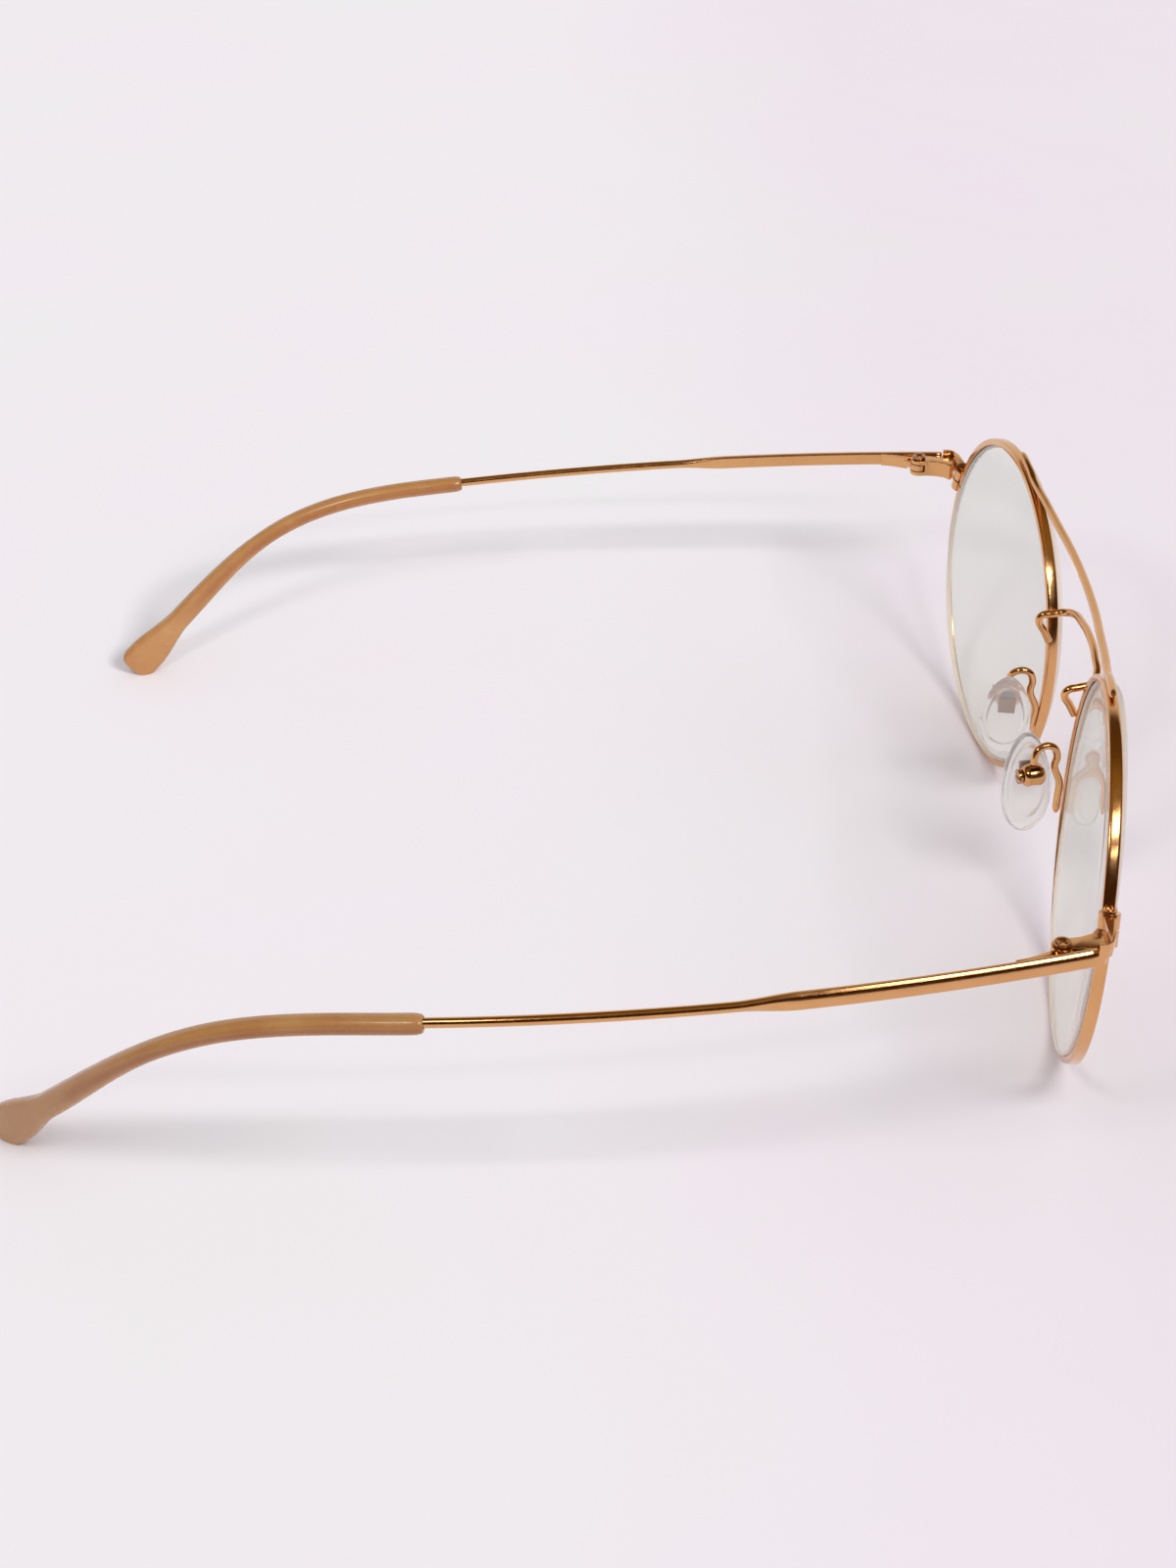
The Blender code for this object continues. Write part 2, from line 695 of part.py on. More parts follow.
def temple_tip(name, curl):
    """The acetate sleeve: its bore takes the temple's wire, and its paddle end rests flat."""
    rows = temple_route(curl)
    inside = core_stations(rows)
    core_end = inside[-1]
    tip_end = rows[-1][2]
    bore = 2 * (temple_wire_radius + seat_gap)
    deepest, direction = at_distance(rows, core_end)
    rings = [section(deepest + direction * 2 * seat_gap, direction, bore, bore, 2)]
    for distance in reversed(inside[:-1]):
        centre, direction = at_distance(rows, distance)
        rings.append(section(centre, direction, bore, bore, 2))
    outer = [tip_start, tip_start + tip_mouth_round] + inside[2:]
    outer += [core_end + (tip_end - core_end) * share for share in (0.2, 0.4, 0.6, 0.78, 0.88, 0.96, 1.0)]
    for distance in outer:
        centre, direction = at_distance(rows, distance)
        widen = blend(distance, tip_end - tip_waist_start, tip_end - tip_waist_end)
        flare = blend(distance, tip_end - tip_flare_start, tip_end - tip_flare_end)
        height = tip_neck_height + (tip_waist_height - tip_neck_height) * widen
        height += tip_flare_height * flare
        left = max(tip_end - distance, 0)
        if left < tip_end_round:
            dome = math.sqrt(1 - (1 - left / tip_end_round) ** 2)
            height *= tip_end_blunt + (1 - tip_end_blunt) * dome
        mouth = tip_mouth_share if distance == tip_start else 1.0
        roundness = tip_neck_roundness + (tip_end_roundness - tip_neck_roundness) * widen
        rings.append(section(centre, direction, tip_thickness * mouth, height * mouth, roundness,
                             tip_sag + tip_flare_sink * flare))
    tip = loft(name, rings, tan_acetate)
    behind = temple_point(bend_start)
    ground = box("ground", Matrix.Translation(behind), (-behind.x, 0, -2 * behind.z),
                 (behind.x, 2 * bend_reach, -behind.z), None)
    return combine(tip, ground, "DIFFERENCE")


# Nose pads. The pad frame's Z axis is the pad screw, X points to the nose and Y up along the pad
pad_screw_axis = Vector((math.sin(pad_splay), math.cos(pad_splay), 0))
pad_upright = Vector((-math.sin(pad_lean), 0, math.cos(pad_lean)))
pad_upright = (pad_upright - pad_screw_axis * pad_upright.dot(pad_screw_axis)).normalized()
pad_nasal = pad_upright.cross(pad_screw_axis).normalized()
pad_turn = Matrix((pad_nasal, pad_upright, pad_screw_axis)).transposed().to_4x4()
pad_frame = Matrix.Translation(pad_place) @ pad_turn
pad_plane = pad_box_radius + running_gap
plate_plane = pad_plane + running_gap


def pad_arm():
    behind = -(rim_depth / 2 + seat_gap + arm_radius)
    middle = (rim_inner + rim_outer) / 2
    foot = [on_rim(math.pi + arm_foot_angle * share, middle, behind) for share in arm_foot_shares]
    entry = pad_frame @ Vector((-arm_radius * arm_entry_inset, pad_box_radius + seat_gap, 0))
    lift = entry + Vector((-2 * arm_offset, -arm_offset, arm_lift))
    x = foot[-1].x + arm_offset
    y = foot[-1].y
    bend = [(x, y + arm_set_back * back, lift.z + arm_lift * up + arm_loop * over)
            for back, up, over in arm_bends]
    bend.append(((x + lift.x) / 2, lift.y - arm_radius, lift.z + arm_loop * arm_loop_top))
    return wire("pad_arm_left", foot + bend + [lift, entry], arm_radius, rose_gold)


def pad_bored(piece):
    bore = rod("pad_bore", pad_frame, pad_screw_radius + pin_gap, -pad_box_length, pad_box_length,
               None, bore_steps)
    return combine(piece, bore, "DIFFERENCE")


def pad_box():
    """The ball with flat ends that holds the pad's tab between its cheeks."""
    half = pad_box_length / 2
    r = pad_box_radius
    power = 2 / pad_box_roundness
    end = [(0, half), (pad_box_face, half)]
    for i in range(1, ball_steps):
        angle = math.pi / 2 * i / ball_steps
        end.append((pad_box_face + (r - pad_box_face) * math.sin(angle) ** power,
                    half * math.cos(angle) ** power))
    profile = end + [(r, 0)] + [(radius, -height) for radius, height in reversed(end)]
    body = turned("pad_box_left", profile, pad_frame, rose_gold, small_steps)
    room = pad_tab_thickness / 2 + running_gap
    slot = box("tab_slot", pad_frame, (-pad_tab_radius - 2 * running_gap, -2 * r, -room),
               (2 * r, pad_tab_radius + pad_tab_room, room), None)
    return pad_bored(combine(body, slot, "DIFFERENCE"))


def pad_screw():
    low = pad_box_length / 2 + seat_gap
    high = low + pad_head_height
    pin = rod("pad_screw_left", pad_frame, pad_screw_radius, -pad_box_length / 2,
              low + pad_head_height / 2, rose_gold, bore_steps)
    head = rod("pad_head", pad_frame, pad_head_radius, low, high, None)
    pin = combine(pin, head, "UNION")
    groove = box("pad_driver_slot", pad_frame,
                 (-pad_head_radius * driver_slot_reach, -driver_slot / 2, high - pad_head_height / 2),
                 (pad_head_radius * driver_slot_reach, driver_slot / 2, high + overshoot), None)
    return combine(pin, groove, "DIFFERENCE")


def pad_insert():
    """The metal core of the pad: an eye on the pad screw and the small plate moulded in."""
    half = pad_tab_thickness / 2
    eye = rod("pad_insert_left", pad_frame, pad_tab_radius, -half, half, rose_gold)
    stem = box("tab_stem", pad_frame, (0, -pad_tab_radius * pad_tab_stem, -half),
               (plate_plane + insert_depth / 2, pad_tab_radius * pad_tab_stem, half), None)
    plate_piece = box("insert_plate", pad_frame, (plate_plane, -insert_length / 2, -insert_width / 2),
                      (plate_plane + insert_depth, insert_length / 2, insert_width / 2), None)
    return pad_bored(combine(combine(eye, stem, "UNION"), plate_piece, "UNION"))


def nose_pad():
    """The soft pad: its rings shrink towards the rounded face on the nose."""
    rings = []
    for share, size in ((0.0, 0.80), (0.12, 0.93), (0.38, 1.0), (0.70, 0.93), (0.92, 0.72), (1.0, 0.40)):
        ring = []
        for i in range(pad_points):
            angle = 2 * math.pi * i / pad_points
            upward = math.sin(angle) * pad_length / 2
            aft = math.cos(angle) * pad_width / 2 * (1 - pad_egg * math.sin(angle))
            ring.append(pad_frame @ Vector((pad_plane + pad_thickness * share, upward * size - pad_drop,
                                            aft * size)))
        rings.append(ring)
    pad = loft("nose_pad_left", rings, clear_silicone)
    pocket = box("insert_pocket", pad_frame,
                 (pad_plane - overshoot, -insert_length / 2 - seat_gap, -insert_width / 2 - seat_gap),
                 (plate_plane + insert_depth + seat_gap, insert_length / 2 + seat_gap,
                  insert_width / 2 + seat_gap), None)
    return combine(pad, pocket, "DIFFERENCE")


# Assembly
still_pieces = [eyewire(), turned("lens_left", lens_profile(), turning_frame, clear_lens), endpiece(),
                front_hinge(), hinge_screw(), pad_arm(), pad_box(), pad_screw()] + rim_lock()
bridge_pieces = [brow_bar(), lower_bridge()]
left_pad = [nose_pad(), pad_insert()]
left_leaf = rear_hinge()
left_temple = [temple_bar("temple_bar_left", tip_curl_left), temple_tip("temple_tip_left", tip_curl_left),
               left_leaf]
right_temple = [mirror(temple_bar("temple_bar_right", tip_curl_right)),
                mirror(temple_tip("temple_tip_right", tip_curl_right)), right_copy(left_leaf)]
right_pad = [right_copy(piece) for piece in left_pad]


def pivot(name, place, pieces, parent):
    """An empty on a joint's axis that carries the pieces that turn about it."""
    joint = bpy.data.objects.new(name, None)
    parts.objects.link(joint)
    joint.empty_display_size = 5 * mm
    joint.location = place
    joint.parent = parent
    for piece in pieces:
        piece.data.transform(Matrix.Translation(-Vector(place)))
        piece.parent = joint


base = bpy.data.objects.new("eyeglasses", None)
parts.objects.link(base)
for piece in still_pieces + [right_copy(piece) for piece in still_pieces] + bridge_pieces:
    piece.parent = base
flip = Vector((-1, 1, 1))
pivot("temple_pivot_left", hinge_place, left_temple, base)
pivot("temple_pivot_right", hinge_place * flip, right_temple, base)
pivot("pad_pivot_left", pad_place, left_pad, base)
pivot("pad_pivot_right", pad_place * flip, right_pad, base)

# The origin is under the middle of the standing glasses
bpy.context.view_layer.update()
corners = [piece.matrix_world @ vertex.co for piece in parts.objects if piece.type == "MESH"
           for vertex in piece.data.vertices]
front_y = min(corner.y for corner in corners)
back_y = max(corner.y for corner in corners)
floor_z = min(corner.z for corner in corners)
base.location = (0, -(front_y + back_y) / 2, -floor_z)
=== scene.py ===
import json
import math

import bmesh
import bpy
from mathutils import Matrix, Vector


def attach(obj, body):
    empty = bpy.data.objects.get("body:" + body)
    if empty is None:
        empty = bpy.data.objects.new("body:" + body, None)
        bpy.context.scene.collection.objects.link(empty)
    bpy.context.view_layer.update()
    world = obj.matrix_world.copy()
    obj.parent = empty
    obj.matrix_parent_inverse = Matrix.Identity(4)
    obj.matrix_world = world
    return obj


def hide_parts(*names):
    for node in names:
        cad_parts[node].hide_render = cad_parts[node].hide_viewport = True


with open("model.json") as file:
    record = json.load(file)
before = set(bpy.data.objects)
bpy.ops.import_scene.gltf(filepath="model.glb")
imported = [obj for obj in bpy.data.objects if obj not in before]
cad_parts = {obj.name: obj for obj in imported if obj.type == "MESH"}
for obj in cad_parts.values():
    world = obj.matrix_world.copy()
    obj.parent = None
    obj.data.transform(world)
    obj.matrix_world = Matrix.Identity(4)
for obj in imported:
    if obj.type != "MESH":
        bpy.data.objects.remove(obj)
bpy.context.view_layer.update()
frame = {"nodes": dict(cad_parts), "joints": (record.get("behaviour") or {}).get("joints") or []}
nodes = frame["nodes"]
mm = 0.001
print("stage: packed frame loaded,", len(nodes), "nodes")

# Everything hangs on these sizes of the fitted pair, in millimetres and degrees
layout = {"lensDiameter": 50.0, "bridgeWidth": 20.0, "tilt": 2.2, "wrap": 7.3,
          "lensBevel": 0.3, "seat": 0.1, "rimThickness": 1.0, "rimDepth": 1.6,
          "lockAngle": 20.5, "lockRadius": 1.35, "lockInset": 0.3, "hingeBack": 6.5}
lensRadius = layout["lensDiameter"] / 2 - layout["lensBevel"]
rimInner = lensRadius + layout["seat"]
rimOuter = rimInner + layout["rimThickness"]
tilt = math.radians(layout["tilt"])
lensX = (layout["lensDiameter"] + layout["bridgeWidth"]) / 2
lensZ = rimOuter * math.cos(tilt) + layout["rimDepth"] / 2 * math.sin(tilt)
lensTurn = Matrix.Rotation(tilt, 4, "X") @ Matrix.Rotation(math.radians(layout["wrap"]), 4, "Z")
lensFrame = Matrix.Translation((lensX, 0, lensZ)) @ lensTurn
turningFrame = lensFrame @ Matrix.Rotation(math.pi / 2, 4, "X")


def onRim(angle, radius, forward=0.0):
    return lensFrame @ Vector((radius * math.cos(angle), -forward, radius * math.sin(angle)))


lockPlace = onRim(math.radians(layout["lockAngle"]), rimOuter + layout["lockRadius"] - layout["lockInset"])
hingeY = lockPlace.y + layout["hingeBack"]
jointPlace = {joint["name"]: Vector(joint["pos_m"]) for joint in frame["joints"]}
backShift = jointPlace["left_temple_fold"].y - hingeY * mm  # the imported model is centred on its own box
toRow = Matrix.Translation((0, backShift, 0)) @ Matrix.Scale(mm, 4)


# Finishes
def linear(code, alpha=1.0):
    values = [int(code[i:i + 2], 16) / 255 for i in (0, 2, 4)]
    return (*[v / 12.92 if v <= 0.04045 else ((v + 0.055) / 1.055) ** 2.4 for v in values], alpha)


def addNode(tree, kind, links=None, values=None, **settings):
    node = tree.nodes.new(kind)
    for name, value in settings.items():
        setattr(node, name, value)
    for socket, value in (values or {}).items():
        node.inputs[socket].default_value = value
    for socket, source in (links or {}).items():
        tree.links.new(source, node.inputs[socket])
    return node


def newFinish(name, values):
    finish = bpy.data.materials.new(name)
    finish.use_nodes = True
    tree = finish.node_tree
    shader = tree.nodes["Principled BSDF"]
    for socket, value in values.items():
        shader.inputs[socket].default_value = value
    place = addNode(tree, "ShaderNodeTexCoord")
    return finish, tree, shader, place


# Rose-gold plating on drawn and tumbled wire: a mirror with a faint orange-peel and soft polish marks
def platedWire(name, light, dark, smoothest, roughest, peel):
    finish, tree, shader, place = newFinish(name, {
        "Metallic": 1.0, "Roughness": smoothest, "Coat Weight": 0.4, "Coat Roughness": smoothest * 1.5})
    cloud = addNode(tree, "ShaderNodeTexNoise", {"Vector": place.outputs["Object"]},
                    {"Scale": 1 / (6 * mm), "Detail": 3.0, "Roughness": 0.6})  # 6 mm clouds of plating tone
    tone = addNode(tree, "ShaderNodeMapRange", {"Value": cloud.outputs["Fac"]},
                   {"From Min": 0.3, "From Max": 0.7})
    colour = addNode(tree, "ShaderNodeMix", {"Factor": tone.outputs["Result"]}, data_type="RGBA")
    colour.inputs["A"].default_value = linear(light)
    colour.inputs["B"].default_value = linear(dark)
    tree.links.new(colour.outputs["Result"], shader.inputs["Base Color"])
    marks = addNode(tree, "ShaderNodeTexNoise", {"Vector": place.outputs["Object"]},
                    {"Scale": 1 / (1.2 * mm), "Detail": 4.0, "Roughness": 0.7})  # 1.2 mm polish marks
    wear = addNode(tree, "ShaderNodeMapRange", {"Value": marks.outputs["Fac"]},
                   {"From Min": 0.35, "From Max": 0.75, "To Min": smoothest, "To Max": roughest})
    tree.links.new(wear.outputs["Result"], shader.inputs["Roughness"])
    skin = addNode(tree, "ShaderNodeTexNoise", {"Vector": place.outputs["Object"]},
                   {"Scale": 1 / (0.8 * mm), "Detail": 1.0})  # 0.8 mm orange peel, coarse enough to show
    bump = addNode(tree, "ShaderNodeBump", {"Height": skin.outputs["Fac"]},
                   {"Strength": peel, "Distance": 0.02 * mm})
    tree.links.new(bump.outputs["Normal"], shader.inputs["Normal"])
    return finish


roseGold = platedWire("roseGoldPlating", "E3AB70", "DBA368", 0.13, 0.21, 0.12)
screwGold = platedWire("roseGoldScrewHead", "D69E66", "B07C48", 0.12, 0.26, 0.5)
coreMetal = platedWire("nickelSilverCore", "9A7A5C", "7A5C42", 0.18, 0.3, 0.4)


def lampsThrough(tree, shader, share, tint):
    # Rays from lamps pass a clear piece, so that its shadow stays as faint as the real one's
    path = addNode(tree, "ShaderNodeLightPath")
    pane = addNode(tree, "ShaderNodeBsdfTransparent", values={"Color": tint})
    factor = addNode(tree, "ShaderNodeMath", {0: path.outputs["Is Shadow Ray"]}, {1: share},
                     operation="MULTIPLY")
    mix = addNode(tree, "ShaderNodeMixShader", {"Fac": factor.outputs["Value"], 1: shader.outputs["BSDF"],
                                                2: pane.outputs["BSDF"]})
    out = tree.nodes["Material Output"]
    tree.links.new(mix.outputs["Shader"], out.inputs["Surface"])


# Hard-coated CR-39: polished faces with a trace of a grey-green tint
def lensFinish():
    finish, tree, shader, place = newFinish("hardCoatedLens", {
        "Base Color": linear("EDF1E9"), "Roughness": 0.02, "IOR": 1.5, "Transmission Weight": 1.0})
    smear = addNode(tree, "ShaderNodeTexNoise", {"Vector": place.outputs["Object"]},
                    {"Scale": 1 / (9 * mm), "Detail": 3.0})  # 9 mm wipe marks
    rough = addNode(tree, "ShaderNodeMapRange", {"Value": smear.outputs["Fac"]},
                    {"From Min": 0.4, "From Max": 0.8, "To Min": 0.0, "To Max": 0.04})
    tree.links.new(rough.outputs["Result"], shader.inputs["Roughness"])
    lampsThrough(tree, shader, 1.0, linear("F0EFEC"))
    return finish


# The lens's ground edge: matt from the edging wheel, so it looks frosted
def groundEdge():
    finish, tree, shader, place = newFinish("groundLensEdge", {
        "Base Color": linear("F8ECE3"), "Roughness": 0.5, "IOR": 1.5, "Transmission Weight": 0.2})
    grit = addNode(tree, "ShaderNodeTexNoise", {"Vector": place.outputs["Object"]},
                   {"Scale": 1 / (0.25 * mm), "Detail": 2.0})  # 0.25 mm grinding grit
    bump = addNode(tree, "ShaderNodeBump", {"Height": grit.outputs["Fac"]},
                   {"Strength": 0.4, "Distance": 0.02 * mm})
    tree.links.new(bump.outputs["Normal"], shader.inputs["Normal"])
    lampsThrough(tree, shader, 0.6, linear("EDE6E2"))
    return finish


# Injection-moulded silicone: soft, clear, with a slight haze and moulding ripples
def siliconeFinish():
    finish, tree, shader, place = newFinish("clearSilicone", {
        "Base Color": linear("FDFCFB"), "Roughness": 0.1, "IOR": 1.41, "Transmission Weight": 0.78})
    ripple = addNode(tree, "ShaderNodeTexNoise", {"Vector": place.outputs["Object"]},
                     {"Scale": 1 / (2.2 * mm), "Detail": 2.0})  # 2.2 mm ripples of the mould
    haze = addNode(tree, "ShaderNodeMapRange", {"Value": ripple.outputs["Fac"]},
                   {"From Min": 0.3, "From Max": 0.7, "To Min": 0.06, "To Max": 0.16})
    tree.links.new(haze.outputs["Result"], shader.inputs["Roughness"])
    bump = addNode(tree, "ShaderNodeBump", {"Height": ripple.outputs["Fac"]},
                   {"Strength": 0.12, "Distance": 0.06 * mm})
    tree.links.new(bump.outputs["Normal"], shader.inputs["Normal"])
    lampsThrough(tree, shader, 0.85, linear("EDEBE8"))
    return finish


# Tumbled cellulose acetate in tan: warm, slightly clouded, glossy, with a darker line that is partly the wire
# core seen through it and partly a painted reflection of the room's dark side
def acetateFinish():
    finish, tree, shader, place = newFinish("tanAcetate", {
        "Roughness": 0.2, "IOR": 1.48, "Coat Weight": 0.3, "Coat Roughness": 0.08,
        "Subsurface Weight": 0.15, "Subsurface Radius": (1.2 * mm, 0.7 * mm, 0.4 * mm),
        "Subsurface Scale": 1.0})
    cloud = addNode(tree, "ShaderNodeTexNoise", {"Vector": place.outputs["Object"]},
                    {"Scale": 1 / (7 * mm), "Detail": 4.0, "Roughness": 0.6})  # 7 mm clouds of pigment
    ramp = addNode(tree, "ShaderNodeValToRGB", {"Fac": cloud.outputs["Fac"]})
    ramp.color_ramp.elements[0].position = 0.3
    ramp.color_ramp.elements[0].color = linear("B27B47")
    ramp.color_ramp.elements[1].position = 0.72
    ramp.color_ramp.elements[1].color = linear("BF8D57")
    # This attribute darkens the tan along the core: partly the core seen through the acetate, partly a
    # painted reflection of the room's dark side
    around = addNode(tree, "ShaderNodeAttribute", attribute_name="coreAndPaintedReflection")  # written by tipMesh
    dark = addNode(tree, "ShaderNodeMix", {"Factor": around.outputs["Fac"]},
                   data_type="RGBA", blend_type="MULTIPLY")
    tree.links.new(ramp.outputs["Color"], dark.inputs["A"])
    dark.inputs["B"].default_value = linear("E0C4AA")
    tree.links.new(dark.outputs["Result"], shader.inputs["Base Color"])
    swirl = addNode(tree, "ShaderNodeTexNoise", {"Vector": place.outputs["Object"]},
                    {"Scale": 1 / (3 * mm), "Detail": 3.0})  # 3 mm waves left by tumbling
    rough = addNode(tree, "ShaderNodeMapRange", {"Value": swirl.outputs["Fac"]},
                    {"From Min": 0.35, "From Max": 0.7, "To Min": 0.16, "To Max": 0.3})
    tree.links.new(rough.outputs["Result"], shader.inputs["Roughness"])
    bump = addNode(tree, "ShaderNodeBump", {"Height": swirl.outputs["Fac"]},
                   {"Strength": 0.25, "Distance": 0.05 * mm})
    tree.links.new(bump.outputs["Normal"], shader.inputs["Normal"])
    return finish


clearLens = lensFinish()
lensEdge = groundEdge()
silicone = siliconeFinish()
acetate = acetateFinish()
print("stage: finishes ready")


# Placing
def placePiece(name, mesh, finishes, body, replaced, flip=False, crease=40):
    if flip:
        mesh.transform(Matrix.Diagonal((-1, 1, 1, 1)))
        mesh.flip_normals()
    mesh.transform(toRow)
    mesh.name = name
    if len(finishes) == 1:
        mesh.materials.clear()
        mesh.materials.append(finishes[0])
    mesh.shade_smooth()
    mesh.set_sharp_from_angle(angle=math.radians(crease))
    piece = bpy.data.objects.new(name, mesh)
    bpy.context.scene.collection.objects.link(piece)
    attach(piece, body)
    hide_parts(replaced)
    return piece


def placePair(name, node, mesh, finishes, body="front", crease=40):
    # The right piece is the left one seen in a mirror, on the same body or on its twin
    twin = mesh.copy()
    placePiece(name + "Left", mesh, finishes, body, node + "_left", crease=crease)
    placePiece(name + "Right", twin, finishes, body.replace("left", "right"), node + "_right", flip=True,
               crease=crease)


# Shapes shared by several pieces
def meshFrom(points, faces, edges=()):
    mesh = bpy.data.meshes.new("draft")
    mesh.from_pydata([tuple(point) for point in points], edges, faces)
    return mesh


def loftMesh(rings):
    count = len(rings[0])
    points = [point for ring in rings for point in ring]
    faces = []
    for row in range(len(rings) - 1):
        for i in range(count):
            j = (i + 1) % count
            faces.append((row * count + i, row * count + j, (row + 1) * count + j, (row + 1) * count + i))
    faces.append(tuple(range(count)))
    faces.append(tuple(range((len(rings) - 1) * count, len(rings) * count)))
    return outward(meshFrom(points, faces))


def outward(mesh):
    shell = bmesh.new()
    shell.from_mesh(mesh)
    bmesh.ops.recalc_face_normals(shell, faces=shell.faces)
    shell.to_mesh(mesh)
    shell.free()
    return mesh


def smoothPath(points, steps=16):
    curve = bpy.data.curves.new("route", "CURVE")
    curve.dimensions = "3D"
    curve.resolution_u = steps
    spline = curve.splines.new("BEZIER")
    spline.bezier_points.add(len(points) - 1)
    for knot, place in zip(spline.bezier_points, points):
        knot.co = place
        knot.handle_left_type = "AUTO"
        knot.handle_right_type = "AUTO"
    carrier = bpy.data.objects.new("route", curve)
    bpy.context.scene.collection.objects.link(carrier)
    bpy.context.view_layer.update()
    line = bpy.data.meshes.new_from_object(carrier.evaluated_get(bpy.context.evaluated_depsgraph_get()))
    path = [vertex.co.copy() for vertex in line.vertices]
    bpy.data.objects.remove(carrier, do_unlink=True)
    return path


# One node tree sweeps a section along a path: the eyewires, both bridges and the pad arms
def sweepTree():
    tree = bpy.data.node_groups.new("sweepSectionAlongPath", "GeometryNodeTree")
    for name, kind in (("Path", "Geometry"), ("Section", "Object"), ("Spacing", "Float"),
                       ("Upright", "Bool"), ("Finish", "Material")):
        tree.interface.new_socket(name, in_out="INPUT", socket_type="NodeSocket" + kind)
    tree.interface.new_socket("Piece", in_out="OUTPUT", socket_type="NodeSocketGeometry")
    given = addNode(tree, "NodeGroupInput").outputs
    line = addNode(tree, "GeometryNodeMeshToCurve", {"Mesh": given["Path"]})
    even = addNode(tree, "GeometryNodeResampleCurve", {"Curve": line.outputs["Curve"],
                                                       "Length": given["Spacing"]}, mode="LENGTH")
    level = addNode(tree, "GeometryNodeSetCurveNormal", {"Curve": even.outputs["Curve"],
                                                         "Selection": given["Upright"]}, mode="Z_UP")
    section = addNode(tree, "GeometryNodeObjectInfo", {"Object": given["Section"]})
    profile = addNode(tree, "GeometryNodeMeshToCurve", {"Mesh": section.outputs["Geometry"]})
    skin = addNode(tree, "GeometryNodeCurveToMesh", {"Curve": level.outputs["Curve"],
                                                     "Profile Curve": profile.outputs["Curve"]},
                   {"Fill Caps": True})
    real = addNode(tree, "GeometryNodeRealizeInstances", {"Geometry": skin.outputs["Mesh"]})
    plated = addNode(tree, "GeometryNodeSetMaterial", {"Geometry": real.outputs["Geometry"],
                                                       "Material": given["Finish"]})
    addNode(tree, "NodeGroupOutput", {"Piece": plated.outputs["Geometry"]})
    return tree


sweeper = sweepTree()
socketOf = {item.name: item.identifier for item in sweeper.interface.items_tree if item.in_out == "INPUT"}


def swept(path, section, spacing, finish, upright=False):
    ring = [(i, (i + 1) % len(section)) for i in range(len(section))]
    sectionPiece = bpy.data.objects.new("section", meshFrom([(x, y, 0) for x, y in section], [], ring))
    line = meshFrom(path, [], [(i, i + 1) for i in range(len(path) - 1)])
    carrier = bpy.data.objects.new("path", line)
    bpy.context.scene.collection.objects.link(carrier)
    bpy.context.scene.collection.objects.link(sectionPiece)
    sweep = carrier.modifiers.new("sweep", "NODES")
    sweep.node_group = sweeper
    for name, value in (("Section", sectionPiece), ("Spacing", spacing), ("Upright", upright),
                        ("Finish", finish)):
        sweep[socketOf[name]] = value
    bpy.context.view_layer.update()
    mesh = bpy.data.meshes.new_from_object(carrier.evaluated_get(bpy.context.evaluated_depsgraph_get()))
    bpy.data.objects.remove(carrier, do_unlink=True)
    bpy.data.objects.remove(sectionPiece, do_unlink=True)
    return outward(mesh)


# A brazed wire end is drawn to a blunt point, and keeps a share of its thickness at the very end
bluntEnd = {"least": 0.2, "inner": 3, "around": 1.0}


def domed(mesh, path, reach, bothEnds):
    inner = bluntEnd["inner"]
    ends = [(path[0], path[inner])]
    if bothEnds:
        ends.append((path[-1], path[-1 - inner]))
    for end, inside in ends:
        inward = (inside - end).normalized()
        for vertex in mesh.vertices:
            along = (vertex.co - end).dot(inward)
            if along < reach and (vertex.co - end).length < reach + bluntEnd["around"]:
                centre = end + inward * along
                share = max(math.sqrt(max(1 - (1 - max(along, 0) / reach) ** 2, 0)), bluntEnd["least"])
                vertex.co = centre + (vertex.co - centre) * share
    return mesh


def roundSection(radius, sides=28):
    return [(radius * math.cos(2 * math.pi * i / sides), radius * math.sin(2 * math.pi * i / sides))
            for i in range(sides)]


# Eyewires: a flat band with rolled edges and a groove for the lens, split at the rim lock
eyewire = {"crownDepth": 0.22, "crownWidth": 0.46, "innerEdge": 0.07, "groove": 0.4, "grooveHalf": 0.5,
           "split": 0.3, "spacing": 0.5, "edgeSteps": 6, "steps": 360}


def eyewireSection():
    half = layout["rimDepth"] / 2
    middle = (rimInner + rimOuter) / 2
    depth = eyewire["crownDepth"]
    width = eyewire["crownWidth"]
    edge = eyewire["innerEdge"]
    upper = [(rimInner, eyewire["grooveHalf"]), (rimInner, half - edge), (rimInner + edge, half)]
    for i in range(eyewire["edgeSteps"] + 1):
        turn = math.radians(90 * (1 - i / eyewire["edgeSteps"]))
        upper.append((rimOuter - depth + depth * math.cos(turn), half - width + width * math.sin(turn)))
    lower = [(x, -y) for x, y in reversed(upper)]
    return [(x - middle, y) for x, y in upper + lower + [(rimInner + eyewire["groove"], 0)]]


def eyewireMesh():
    middle = (rimInner + rimOuter) / 2
    lock = math.radians(layout["lockAngle"])
    gap = eyewire["split"] / 2 / middle
    path = []
    for i in range(eyewire["steps"] + 1):
        angle = lock + gap + (2 * math.pi - 2 * gap) * i / eyewire["steps"]
        path.append(Vector((middle * math.cos(angle), middle * math.sin(angle), 0)))
    mesh = swept(path, eyewireSection(), eyewire["spacing"], roseGold, upright=True)
    mesh.transform(turningFrame)
    return mesh


placePair("eyewire", "rim", eyewireMesh(), [roseGold])


# Lenses: two shallow spherical faces, a flattened edge and the bevel that sits in the groove
lensSizes = {"frontRadius": 130.0, "backRadius": 127.95, "frontProud": 0.4, "backProud": -0.15,
             "leanTop": 0.55, "leanNose": 0.4, "bevelHalf": 0.35, "chamfer": 0.12, "rings": 20, "steps": 180}


def sag(radius, curve):
    return curve - math.sqrt(curve ** 2 - radius ** 2)


